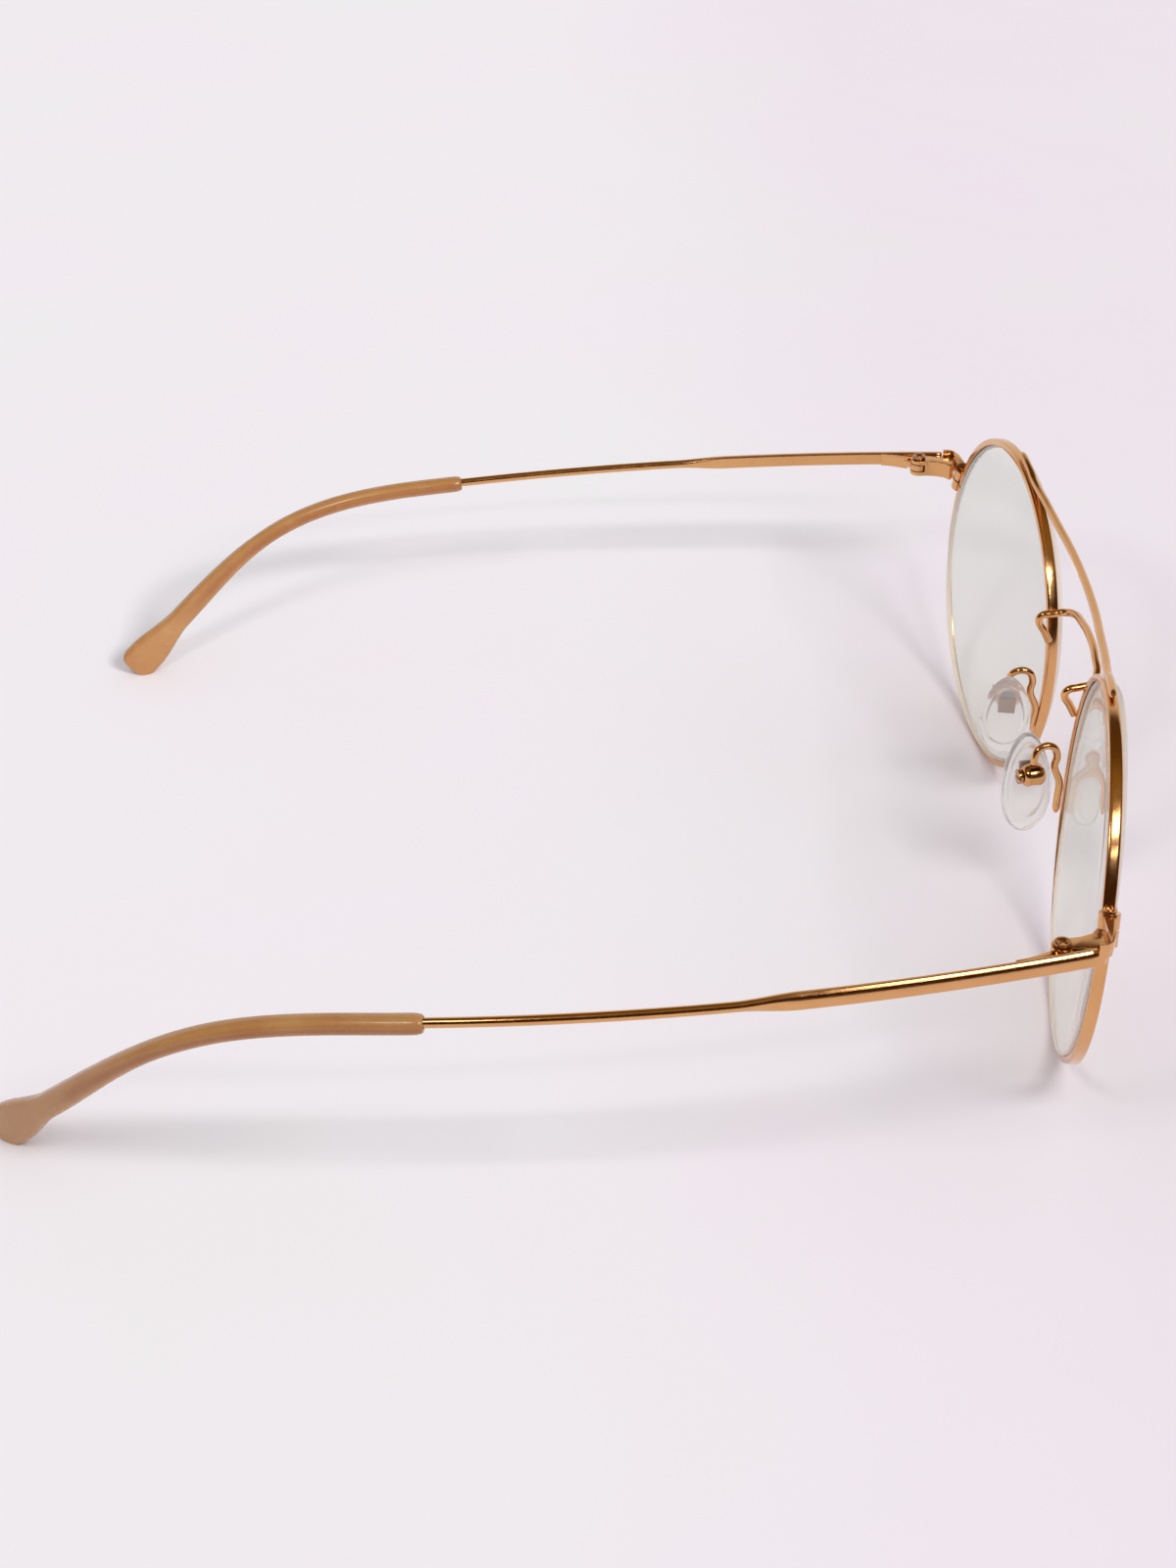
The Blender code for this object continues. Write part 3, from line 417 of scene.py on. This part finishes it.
def lensMesh():
    half = layout["rimDepth"] / 2
    front = half + lensSizes["frontProud"]
    back = -half - lensSizes["backProud"]
    chamfer = lensSizes["chamfer"]
    inner = lensRadius - chamfer
    rings = [inner * (i + 1) / lensSizes["rings"] for i in range(lensSizes["rings"])]
    crown = sag(lensRadius, lensSizes["frontRadius"])
    hollow = sag(lensRadius, lensSizes["backRadius"])
    face = [(r, front + crown - sag(r, lensSizes["frontRadius"])) for r in rings]
    rear = [(r, back + hollow - sag(r, lensSizes["backRadius"])) for r in reversed(rings)]
    edge = [(lensRadius, front - chamfer), (lensRadius, lensSizes["bevelHalf"]),
            (lensRadius + layout["lensBevel"], 0),
            (lensRadius, -lensSizes["bevelHalf"]), (lensRadius, back + chamfer)]
    profile = face + edge + rear
    steps = lensSizes["steps"]
    points = [turningFrame @ Vector((0, 0, front + crown))]
    for row, (radius, height) in enumerate(profile):
        # Both faces lean a little out of the rim's plane: further forward at the top and at the nose
        share = 0 if len(face) < row < len(face) + len(edge) - 1 else radius / lensRadius
        for i in range(steps):
            turn = 2 * math.pi * i / steps
            lean = lensSizes["leanTop"] * math.sin(turn) - lensSizes["leanNose"] * math.cos(turn)
            points.append(turningFrame @ Vector((radius * math.cos(turn), radius * math.sin(turn),
                                                 height + lean * share)))
    points.append(turningFrame @ Vector((0, 0, back + hollow)))
    last = len(points) - 1
    faces = []
    ground = []
    for i in range(steps):
        j = (i + 1) % steps
        faces.append((0, 1 + i, 1 + j))
        faces.append((last, last - steps + j, last - steps + i))
    for row in range(len(profile) - 1):
        for i in range(steps):
            j = (i + 1) % steps
            a = 1 + row * steps
            b = a + steps
            if len(face) - 1 <= row < len(face) + len(edge):
                ground.append(len(faces))
            faces.append((a + i, b + i, b + j, a + j))
    mesh = meshFrom(points, faces)
    mesh.materials.append(clearLens)
    mesh.materials.append(lensEdge)
    for index in ground:
        mesh.polygons[index].material_index = 1
    return outward(mesh)


placePair("lens", "lens", lensMesh(), [clearLens, lensEdge], crease=25)
print("stage: eyewires and lenses")


# Double bridge: the brow bar lies on both eyewires, the arch ends in hooked feet beside them.
# A route is in shares of the way from the middle to the wire's own corner: across, back and in height
browBar = {"radius": 0.58, "dome": 1.5, "drop": 2.0, "front": 4.3, "startAngle": 91.0, "endAngle": 107.0,
           "seatSteps": 4, "spacing": 0.2,
           "route": ((0.30, 0.10, 0.07), (0.56, 0.38, 0.27), (0.79, 0.66, 0.56))}
archBridge = {"radius": 0.56, "margin": 0.5, "rise": 14.4, "front": 6.13, "depth": 5.3, "footRise": 8.1,
              "footRoom": 0.25, "spacing": 0.3,
              "route": ((0.0, 0.0, 0.0), (0.52, 0.045, 0.045), (0.90, 0.14, 0.15), (1.037, 0.33, 0.238),
                        (1.063, 0.64, 0.286), (1.076, 0.93, 0.341), (1.074, 0.99, 0.458))}


def between(start, end, shares):
    return [Vector([s + (e - s) * share for s, e, share in zip(start, end, row)]) for row in shares]


def bothHalves(half):
    return half[::-1] + [Vector((-point.x, point.y, point.z)) for point in half[1:]]


def browBarMesh():
    seat = rimOuter + layout["seat"] + browBar["radius"]
    first = browBar["endAngle"]
    sweep = browBar["startAngle"] - first
    steps = browBar["seatSteps"]
    onTop = [onRim(math.radians(first + sweep * i / steps), seat) for i in range(steps + 1)]
    middle = Vector((0, -browBar["front"], lensZ + rimOuter - browBar["drop"]))
    half = [middle] + between(middle, onTop[0], browBar["route"]) + onTop
    path = smoothPath(bothHalves(half))
    bar = swept(path, roundSection(browBar["radius"]), browBar["spacing"], roseGold)
    return domed(bar, path, browBar["dome"], bothEnds=True)


def archBridgeMesh():
    a = archBridge
    along = math.sqrt(rimOuter ** 2 - a["footRise"] ** 2)
    wrap = math.radians(layout["wrap"])
    foot = Vector((lensX - along * math.cos(wrap) - a["radius"] - a["footRoom"],
                   layout["rimDepth"] / 2 - along * math.sin(wrap) - a["footRise"] * math.sin(tilt),
                   lensZ + a["footRise"]))
    crest = Vector((0, -a["front"], lensZ + a["rise"]))
    corner = Vector((layout["bridgeWidth"] / 2 - a["margin"], a["depth"] - a["front"], foot.z))
    half = between(crest, corner, a["route"])
    half += [half[-1].lerp(foot, 0.5), foot]
    return swept(smoothPath(bothHalves(half)), roundSection(a["radius"]), a["spacing"], roseGold)


placePiece("browBar", browBarMesh(), [roseGold], "front", "brow_bar")
placePiece("archBridge", archBridgeMesh(), [roseGold], "front", "lower_bridge")
print("stage: double bridge")


# Temples: a flat bar that turns into a round wire, and the acetate tip over its end.
# The bar's sides are (out from the middle, up) points, from the top down
temple = {"out": 6.9, "rise": 0.42, "toeIn": 0.015, "slope": 0.0585, "bow": 5.0, "bowLength": 110.0,
          "wireRadius": 0.6565, "coreRadius": 0.68, "taper": (32.0, 40.0),
          "bendStart": 84.0, "bendReach": 50.1, "bendAngle": 42.0, "bendLead": 27.0, "bendTail": 27.5,
          "butt": 2.37, "endBevel": 0.12, "bevelMiddle": 0.3, "flatFrom": 1.0,
          "routeSteps": {"butt": 4, "straight": 42, "bend": 80},
          "rings": {"flat": 14, "taper": 14, "wire": 16, "core": 24},
          "outerSide": ((-0.12, 1.05), (-0.01, 1.05), (0.01, 1.04), (0.04, 1.014), (0.12, 0.947),
                        (0.20, 0.88), (0.27, 0.82), (0.32, 0.755), (0.365, 0.685), (0.405, 0.61),
                        (0.44, 0.535), (0.475, 0.455), (0.505, 0.375), (0.535, 0.29), (0.565, 0.195),
                        (0.595, 0.085), (0.625, -0.05), (0.652, -0.22), (0.665, -0.72), (0.655, -0.85),
                        (0.60, -0.96), (0.45, -1.0)),
          "innerSide": ((0.2, 1.05), (0.36, 1.049), (0.43, 1.045), (0.49, 1.028), (0.54, 1.0),
                        (0.58, 0.955), (0.61, 0.90), (0.635, 0.82), (0.65, 0.70), (0.66, 0.52),
                        (0.664, 0.25), (0.665, -0.05), (0.665, -0.35), (0.665, -0.6), (0.664, -0.75),
                        (0.655, -0.85), (0.63, -0.92), (0.57, -0.97), (0.45, -1.0), (0.2, -1.0))}
tip = {"start": 76.5, "trim": 0.17, "thickness": 2.7, "neck": 2.5, "sag": 0.15,
       "waist": 3.5, "waistFrom": 36.0, "waistTo": 13.0,
       "flare": 2.6, "flareSink": 0.1, "flareFrom": 13.0, "flareTo": 3.0,
       "neckBoxy": 2.3, "endBoxy": 3.0, "mouthRound": 1.5, "mouthShare": 0.72, "endRound": 1.7,
       "endBlunt": 0.72, "coreMargin": 15.0, "endHeight": 1.2, "curlLength": 30.0,
       "curlLeft": -2.8, "curlRight": 6.4, "afterMouth": 0.5, "mouthRings": (0.0, 0.1, 0.3, 0.6, 1.0),
       "rings": {"bore": 20, "neck": 60, "paddle": 20, "end": 8},
       "shadeNarrow": 1.6, "shadeFades": (-6.0, 2.0)}
templeX = lockPlace.x + temple["out"]
templeZ = lockPlace.z + temple["rise"]


def blend(value, start, end):
    share = min(max((value - start) / (end - start), 0), 1)
    return share * share * (3 - 2 * share)


def spread(start, end, count):
    return [start + (end - start) * i / count for i in range(count)]


def templePoint(along):
    part = along / temple["bowLength"]
    return Vector((templeX - temple["toeIn"] * along + temple["bow"] * 4 * part * (1 - part),
                   hingeY + along, templeZ - temple["slope"] * along))


def templeRoute(curl):
    butt = lockPlace.y + temple["butt"] + layout["seat"] - hingeY
    start = temple["bendStart"]
    steps = temple["routeSteps"]
    flat = spread(butt, 0, steps["butt"]) + spread(0, start, steps["straight"])
    angle = math.radians(temple["bendAngle"])
    a = Vector((start, 0))
    b = a + Vector((temple["bendLead"], 0))
    d = a + Vector((temple["bendReach"], tip["endHeight"] - templePoint(start + temple["bendReach"]).z))
    c = d - temple["bendTail"] * Vector((math.cos(angle), -math.sin(angle)))
    side = [Vector((x, 0)) for x in flat]
    for t in spread(0, 1, steps["bend"]) + [1]:
        side.append((1 - t) ** 3 * a + 3 * (1 - t) ** 2 * t * b + 3 * (1 - t) * t ** 2 * c + t ** 3 * d)
    curlStart = start + temple["bendReach"] - tip["curlLength"]
    centres = []
    for point in side:
        share = max(point.x - curlStart, 0) / tip["curlLength"]
        centres.append(templePoint(point.x) + Vector((-curl * share ** 2, 0, point.y)))
    rows = []
    distance = flat[0]
    for i, centre in enumerate(centres):
        before = centres[max(i - 1, 0)]
        after = centres[min(i + 1, len(centres) - 1)]
        if i:
            distance += (centre - before).length
        rows.append((centre, (after - before).normalized(), distance))
    return rows


def atDistance(rows, distance):
    for (p, u, s), (q, v, e) in zip(rows, rows[1:]):
        if distance <= e:
            share = (distance - s) / (e - s)
            return p.lerp(q, share), u.lerp(v, share).normalized()
    return rows[-1][0], rows[-1][1]


def frameAt(rows, distance):
    centre, direction = atDistance(rows, distance)
    across = direction.cross(Vector((0, 0, 1))).normalized()
    return centre, across, across.cross(direction).normalized()


def sectionRing(rows, distance, thickness, height, boxy, lower=0.0, count=40):
    # A rounded box: a boxy of 2 is an ellipse, and a higher one has squarer corners
    centre, across, upward = frameAt(rows, distance)
    ring = []
    for i in range(count):
        turn = 2 * math.pi * (i + 0.5) / count
        c = math.cos(turn)
        s = math.sin(turn)
        x = math.copysign(abs(c) ** (2 / boxy), c) * thickness / 2
        z = math.copysign(abs(s) ** (2 / boxy), s) * height / 2
        ring.append(centre + across * x + upward * (z - lower))
    return ring


def barRing(rows, distance, roundness, trim):
    # The flat bar slopes off towards its top, more on its outer side, and turns into a round wire
    centre, across, upward = frameAt(rows, distance)
    radius = temple["wireRadius"]
    sides = []
    for side in ("outerSide", "innerSide"):
        wire = [math.pi * (i + 0.5) / len(temple[side]) for i in range(len(temple[side]))]
        sides.append([(x + (radius * math.sin(turn) - x) * roundness,
                       z + (radius * math.cos(turn) - z) * roundness)
                      for (x, z), turn in zip(temple[side], wire)])
    ring = sides[0] + [(-x, z) for x, z in reversed(sides[1])]
    return [centre + (across * x + upward * z) * (1 - trim) for x, z in ring]


def templeBarMesh(rows):
    coreEnd = rows[-1][2] - tip["coreMargin"]
    first = rows[0][2]
    bevel = temple["endBevel"]
    taperStart, taperEnd = temple["taper"]
    count = temple["rings"]
    stations = [first, first + bevel * temple["bevelMiddle"], first + bevel]
    stations += spread(first + temple["flatFrom"], taperStart, count["flat"])
    stations += spread(taperStart, taperEnd, count["taper"])
    stations += spread(taperEnd, tip["start"], count["wire"]) + spread(tip["start"], coreEnd, count["core"])
    rings = []
    for distance in stations + [coreEnd]:
        rings.append(barRing(rows, distance, blend(distance, taperStart, taperEnd),
                             bevel * max(1 - (distance - first) / bevel, 0)))
    return loftMesh(rings)


def tipMesh(rows):
    coreEnd = rows[-1][2] - tip["coreMargin"]
    end = rows[-1][2] - tip["trim"]
    bore = 2 * (temple["coreRadius"] + layout["seat"])
    count = tip["rings"]
    inside = spread(tip["start"], coreEnd, count["bore"]) + [coreEnd]
    inside.reverse()
    rings = [sectionRing(rows, distance, bore, bore, 2) for distance in inside]
    mouth = tip["mouthRound"]
    outside = [tip["start"] + mouth * share for share in tip["mouthRings"]]
    outside += spread(tip["start"] + mouth + tip["afterMouth"], end - tip["flareFrom"], count["neck"])
    outside += spread(end - tip["flareFrom"], end - tip["endRound"], count["paddle"])
    outside += [end - tip["endRound"] * (1 - math.sin(math.pi / 2 * i / count["end"]))
                for i in range(count["end"] + 1)]
    for distance in outside:
        widen = blend(distance, end - tip["waistFrom"], end - tip["waistTo"])
        flare = blend(distance, end - tip["flareFrom"], end - tip["flareTo"])
        height = tip["neck"] + (tip["waist"] - tip["neck"]) * widen + tip["flare"] * flare
        left = max(end - distance, 0)
        if left < tip["endRound"]:
            blunt = tip["endBlunt"]
            height *= blunt + (1 - blunt) * math.sqrt(1 - (1 - left / tip["endRound"]) ** 2)
        lip = min((distance - tip["start"]) / mouth, 1)
        lip = tip["mouthShare"] + (1 - tip["mouthShare"]) * math.sqrt(1 - (1 - lip) ** 2)
        boxy = tip["neckBoxy"] + (tip["endBoxy"] - tip["neckBoxy"]) * widen
        rings.append(sectionRing(rows, distance, tip["thickness"] * lip, height * lip, boxy,
                                 tip["sag"] + tip["flareSink"] * flare))
    mesh = loftMesh(rings)
    # A darker line, partly the core seen through the acetate and partly a painted reflection of the room's
    # dark side: strongest on both flat sides, gone past the core's end
    shade = mesh.attributes.new("coreAndPaintedReflection", "FLOAT", "POINT")
    fadeStart, fadeEnd = tip["shadeFades"]
    sides = len(rings[0])
    for row, distance in enumerate(inside + outside):
        fade = 0.0 if row < len(inside) else 1 - blend(distance, coreEnd + fadeStart, coreEnd + fadeEnd)
        for i in range(sides):
            turn = 2 * math.pi * (i + 0.5) / sides
            shade.data[row * sides + i].value = fade * max(1 - abs(math.sin(turn)) * tip["shadeNarrow"], 0)
    return mesh


def cutGround(mesh):
    # The paddle end is worn flat where it stands
    shell = bmesh.new()
    shell.from_mesh(mesh)
    everything = shell.verts[:] + shell.edges[:] + shell.faces[:]
    cut = bmesh.ops.bisect_plane(shell, geom=everything, dist=0.0001, plane_co=(0, 0, 0),
                                 plane_no=(0, 0, -1), clear_outer=True)
    rim = [item for item in cut["geom_cut"] if isinstance(item, bmesh.types.BMEdge)]
    bmesh.ops.holes_fill(shell, edges=rim, sides=0)
    bmesh.ops.recalc_face_normals(shell, faces=shell.faces)
    shell.to_mesh(mesh)
    shell.free()
    return mesh


for side in ("left", "right"):
    rows = templeRoute(tip["curl" + side.title()])
    flip = side == "right"
    placePiece("templeBar" + side.title(), templeBarMesh(rows), [roseGold], side + "_temple",
               "temple_bar_" + side, flip, crease=50)
    placePiece("templeTip" + side.title(), cutGround(tipMesh(rows)), [acetate], side + "_temple",
               "temple_tip_" + side, flip, crease=50)
print("stage: temples and tips")


# Nose pads and their arms. The pad frame's Z is the pad screw, X points to the nose, Y up the pad.
# The pad's skin is (share of its thickness, share of its size) for each ring, from the back to the face
pad = {"out": 0.9, "back": 2.5, "drop": 1.3, "lean": 11.4, "splay": 10.0, "boxRadius": 1.7, "gap": 0.12,
       "length": 15.2, "width": 7.4, "thickness": 1.8, "shift": 2.1, "egg": 0.16, "points": 72, "least": 0.01,
       "skin": ((0.0, 0.0), (0.0, 0.55), (0.02, 0.66), (0.13, 0.70), (0.13, 0.76), (0.0, 0.80),
                (0.01, 0.86), (0.07, 0.915), (0.16, 0.955), (0.27, 0.985), (0.38, 1.0), (0.50, 0.99),
                (0.62, 0.96), (0.74, 0.91), (0.84, 0.83), (0.92, 0.72), (0.965, 0.57), (0.99, 0.36),
                (1.0, 0.12))}
arm = {"radius": 0.53, "footAngle": 18.0, "footShares": (1.0, 0.7, 0.42), "entryDown": 0.6, "offset": 0.1,
       "setBack": (0.95, 0.76, 1.615), "lift": 1.0, "lower": (2.0, 0.2), "loop": 1.35, "loopFall": 0.8,
       "dome": 1.1, "spacing": 0.2}
padPlace = Vector((layout["bridgeWidth"] / 2 + pad["out"], pad["back"], lensZ - pad["drop"]))
splay = math.radians(pad["splay"])
lean = math.radians(pad["lean"])
padAxis = Vector((math.sin(splay), math.cos(splay), 0))
padUp = Vector((-math.sin(lean), 0, math.cos(lean)))
padUp = (padUp - padAxis * padUp.dot(padAxis)).normalized()
padTurn = Matrix((padUp.cross(padAxis).normalized(), padUp, padAxis)).transposed()
padFrame = Matrix.Translation(padPlace) @ padTurn.to_4x4()
padPlane = pad["boxRadius"] + pad["gap"]


def nosePadMesh():
    rings = []
    for share, size in pad["skin"]:
        size = max(size, pad["least"])
        ring = []
        for i in range(pad["points"]):
            turn = 2 * math.pi * i / pad["points"]
            upward = math.sin(turn) * pad["length"] / 2
            aft = math.cos(turn) * pad["width"] / 2 * (1 - pad["egg"] * math.sin(turn))
            ring.append(padFrame @ Vector((padPlane + pad["thickness"] * share, upward * size - pad["shift"],
                                           aft * size)))
        rings.append(ring)
    return loftMesh(rings)


def padArmMesh():
    behind = -(layout["rimDepth"] / 2 + layout["seat"] + arm["radius"])
    middle = (rimInner + rimOuter) / 2
    foot = [onRim(math.pi + math.radians(arm["footAngle"]) * share, middle, behind)
            for share in arm["footShares"]]
    entry = padFrame @ Vector((-arm["radius"] * arm["entryDown"], pad["boxRadius"] + layout["seat"], 0))
    lift = entry + Vector((-2 * arm["offset"], -arm["offset"], arm["lift"]))
    x = foot[-1].x + arm["offset"]
    heights = [lift.z - arm["lift"] * share for share in arm["lower"]] + [lift.z + arm["loop"]]
    bend = [Vector((x, foot[-1].y + setBack, height)) for setBack, height in zip(arm["setBack"], heights)]
    over = Vector(((x + lift.x) / 2, lift.y - arm["radius"], lift.z + arm["loop"] * arm["loopFall"]))
    path = smoothPath(foot + bend + [over, lift, entry])
    wire = swept(path, roundSection(arm["radius"]), arm["spacing"], roseGold)
    return domed(wire, path, arm["dome"], bothEnds=False)


placePair("nosePad", "nose_pad", nosePadMesh(), [silicone], "left_pad", crease=60)
placePair("padArm", "pad_arm", padArmMesh(), [roseGold])
print("stage: nose pads and arms")


# Small metalwork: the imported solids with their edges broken, as tumbling leaves them.
# Each kind has the width of its broken edges, its finish and the body that it rides on
smallWork = {"endpiece": (0.16, roseGold, "front"), "hinge_front": (0.12, roseGold, "front"),
             "hinge_rear": (0.1, roseGold, "temple"), "hinge_screw": (0.06, screwGold, "front"),
             "rim_lock_upper": (0.12, roseGold, "front"), "rim_lock_lower": (0.12, roseGold, "front"),
             "rim_lock_screw": (0.06, screwGold, "front"), "pad_box": (0.12, roseGold, "front"),
             "pad_screw": (0.05, screwGold, "front"), "pad_insert": (0.07, coreMetal, "pad")}
brokenEdge = {"segments": 3, "sharperThan": 32, "merge": 0.0005, "flatWithin": 1}


def softened(node, width):
    mesh = nodes[node].data.copy()
    shell = bmesh.new()
    shell.from_mesh(mesh)
    bmesh.ops.remove_doubles(shell, verts=shell.verts, dist=brokenEdge["merge"] * mm)
    bmesh.ops.dissolve_limit(shell, angle_limit=math.radians(brokenEdge["flatWithin"]), verts=shell.verts,
                             edges=shell.edges)
    shell.to_mesh(mesh)
    shell.free()
    carrier = bpy.data.objects.new("carrier", mesh)
    bpy.context.scene.collection.objects.link(carrier)
    broken = carrier.modifiers.new("brokenEdges", "BEVEL")
    broken.width = width * mm
    broken.segments = brokenEdge["segments"]
    broken.limit_method = "ANGLE"
    broken.angle_limit = math.radians(brokenEdge["sharperThan"])
    broken.use_clamp_overlap = True
    bpy.context.view_layer.update()
    done = bpy.data.meshes.new_from_object(carrier.evaluated_get(bpy.context.evaluated_depsgraph_get()))
    bpy.data.objects.remove(carrier, do_unlink=True)
    done.transform(toRow.inverted())
    return done


for kind, (width, finish, host) in smallWork.items():
    for side in ("left", "right"):
        node = kind + "_" + side
        body = host if host == "front" else side + "_" + host
        placePiece(node.title().replace("_", ""), softened(node, width), [finish], body, node, crease=30)
print("stage: small metalwork")


# Table top: matt paper, pale with a hint of lilac and faint blotches, a little pinker before the eyewires
def tableFinish():
    finish, tree, shader, place = newFinish("paleTablePaper", {"Roughness": 0.9, "Specular IOR Level": 0.1})
    blotch = addNode(tree, "ShaderNodeTexNoise", {"Vector": place.outputs["Object"]},
                     {"Scale": 1 / (90 * mm), "Detail": 3.0})  # 90 mm blotches of the paper
    ramp = addNode(tree, "ShaderNodeValToRGB", {"Fac": blotch.outputs["Fac"]})
    ramp.color_ramp.elements[0].position = 0.35
    ramp.color_ramp.elements[0].color = linear("F1EAF0")
    ramp.color_ramp.elements[1].position = 0.65
    ramp.color_ramp.elements[1].color = linear("EFECEE")
    part = addNode(tree, "ShaderNodeSeparateXYZ", {"Vector": place.outputs["Object"]})
    front = addNode(tree, "ShaderNodeMapRange", {"Value": part.outputs["Y"]},
                    {"From Min": 0.0, "From Max": -80 * mm})  # from the middle to 80 mm before it
    faded = addNode(tree, "ShaderNodeMix", {"Factor": front.outputs["Result"], "A": ramp.outputs["Color"]},
                    data_type="RGBA", blend_type="MULTIPLY")
    faded.inputs["B"].default_value = linear("FCF8FB")
    tree.links.new(faded.outputs["Result"], shader.inputs["Base Color"])
    return finish


table = {"half": 3000.0, "below": 0.01}


def addTable():
    half = table["half"] * mm
    height = -table["below"] * mm
    corners = [(x * half, y * half, height) for x, y in ((-1, -1), (1, -1), (1, 1), (-1, 1))]
    top = bpy.data.objects.new("tableTop", meshFrom(corners, [(0, 1, 2, 3)]))
    top.data.materials.append(tableFinish())
    bpy.context.scene.collection.objects.link(top)


# Light: three soft strips above the photographer's side. Their glow grows with distance as much as distance
# and slant would dim it, so the whole table is lit evenly and only the shadows show where they hang.
# Places and sizes in millimetres, power in watts
strips = {"key": {"place": (-163.0, -60.0, 243.0), "length": 120.0, "width": 60.0, "power": 0.1902},
          "rear": {"place": (-163.0, 145.0, 243.0), "length": 40.0, "width": 60.0, "power": 0.0634},
          "side": {"place": (-254.0, -60.0, 243.0), "length": 120.0, "width": 16.0, "power": 0.0254}}


def addStrip(name, strip):
    lamp = bpy.data.lights.new(name + "Strip", "AREA")
    lamp.shape = "RECTANGLE"
    lamp.size = strip["width"] * mm
    lamp.size_y = strip["length"] * mm
    lamp.energy = strip["power"]
    lamp.use_nodes = True
    tree = lamp.node_tree
    path = addNode(tree, "ShaderNodeLightPath")
    steps = addNode(tree, "ShaderNodeMath", {0: path.outputs["Ray Length"]}, {1: strip["place"][2] * mm},
                    operation="DIVIDE")
    even = addNode(tree, "ShaderNodeMath", {0: steps.outputs["Value"]}, {1: 4.0}, operation="POWER")
    glow = tree.nodes["Emission"]
    glow.inputs["Color"].default_value = linear("FFFFFF")
    tree.links.new(even.outputs["Value"], glow.inputs["Strength"])
    holder = bpy.data.objects.new(name + "Strip", lamp)
    holder.location = toRow @ Vector(strip["place"])
    bpy.context.scene.collection.objects.link(holder)


# Room, by angle from the far side over the ceiling to the photographer: matt surfaces get its mean light
room = {"plain": "F2ECF1", "mean": "BFBFC0",
        "bands": ((0.0, "E6E4E2"), (0.14, "E6E2DE"), (0.20, "DED6D0"), (0.215, "CEC8C2"), (0.25, "503819"),
                  (0.42, "654B21"), (0.51, "8B7138"), (0.62, "8B7138"), (0.70, "644C28"), (0.76, "3C240F"),
                  (1.0, "412812"))}


def addRoom():
    world = bpy.data.worlds.new("paleRoom")
    world.use_nodes = True
    tree = world.node_tree
    back = tree.nodes["Background"]
    place = addNode(tree, "ShaderNodeTexCoord")
    part = addNode(tree, "ShaderNodeSeparateXYZ", {"Vector": place.outputs["Generated"]})
    turn = addNode(tree, "ShaderNodeMath", {0: part.outputs["Z"], 1: part.outputs["X"]}, operation="ARCTAN2")
    share = addNode(tree, "ShaderNodeMath", {0: turn.outputs["Value"]}, {1: math.pi}, operation="DIVIDE")
    ramp = addNode(tree, "ShaderNodeValToRGB", {"Fac": share.outputs["Value"]})
    bands = ramp.color_ramp
    while len(bands.elements) > 1:
        bands.elements.remove(bands.elements[-1])
    for i, (position, code) in enumerate(room["bands"]):
        element = bands.elements[0] if i == 0 else bands.elements.new(position)
        element.position = position
        element.color = linear(code)
    path = addNode(tree, "ShaderNodeLightPath")
    matt = addNode(tree, "ShaderNodeMix", {"A": ramp.outputs["Color"],
                                           "Factor": path.outputs["Is Diffuse Ray"]}, data_type="RGBA")
    matt.inputs["B"].default_value = linear(room["mean"])
    seen = addNode(tree, "ShaderNodeMix", {"A": matt.outputs["Result"],
                                           "Factor": path.outputs["Is Camera Ray"]}, data_type="RGBA")
    seen.inputs["B"].default_value = linear(room["plain"])
    tree.links.new(seen.outputs["Result"], back.inputs["Color"])
    bpy.context.scene.world = world


addTable()
for name, strip in strips.items():
    addStrip(name, strip)
addRoom()
print("stage: table, lamps and room")


# Camera, fitted to the photograph: degrees and millimetres
view = {"azimuth": -90.099, "elevation": 34.375, "roll": -1.184, "distance": 328.296,
        "target": (-8.086, 65.237, 22.671), "focal": 52.881, "sensor": 36.0, "clip": (5.0, 20000.0)}


def addCamera():
    lensData = bpy.data.cameras.new("camera")
    lensData.lens = view["focal"]
    lensData.sensor_width = view["sensor"]
    lensData.clip_start = view["clip"][0] * mm
    lensData.clip_end = view["clip"][1] * mm
    azimuth = math.radians(view["azimuth"])
    elevation = math.radians(view["elevation"])
    roll = math.radians(view["roll"])
    back = Vector((math.sin(azimuth) * math.cos(elevation), -math.cos(azimuth) * math.cos(elevation),
                   math.sin(elevation)))
    right = (-back).cross(Vector((0, 0, 1))).normalized()
    up = right.cross(-back)
    rolledRight = math.cos(roll) * right + math.sin(roll) * up
    rolledUp = -math.sin(roll) * right + math.cos(roll) * up
    place = toRow @ (Vector(view["target"]) + back * view["distance"])
    turn = Matrix((rolledRight, rolledUp, back)).transposed()
    camera = bpy.data.objects.new("camera", lensData)
    camera.matrix_world = Matrix.Translation(place) @ turn.to_4x4()
    bpy.context.scene.collection.objects.link(camera)
    bpy.context.scene.camera = camera


addCamera()
bpy.context.scene.view_settings.view_transform = "Standard"
print("stage: camera ready")
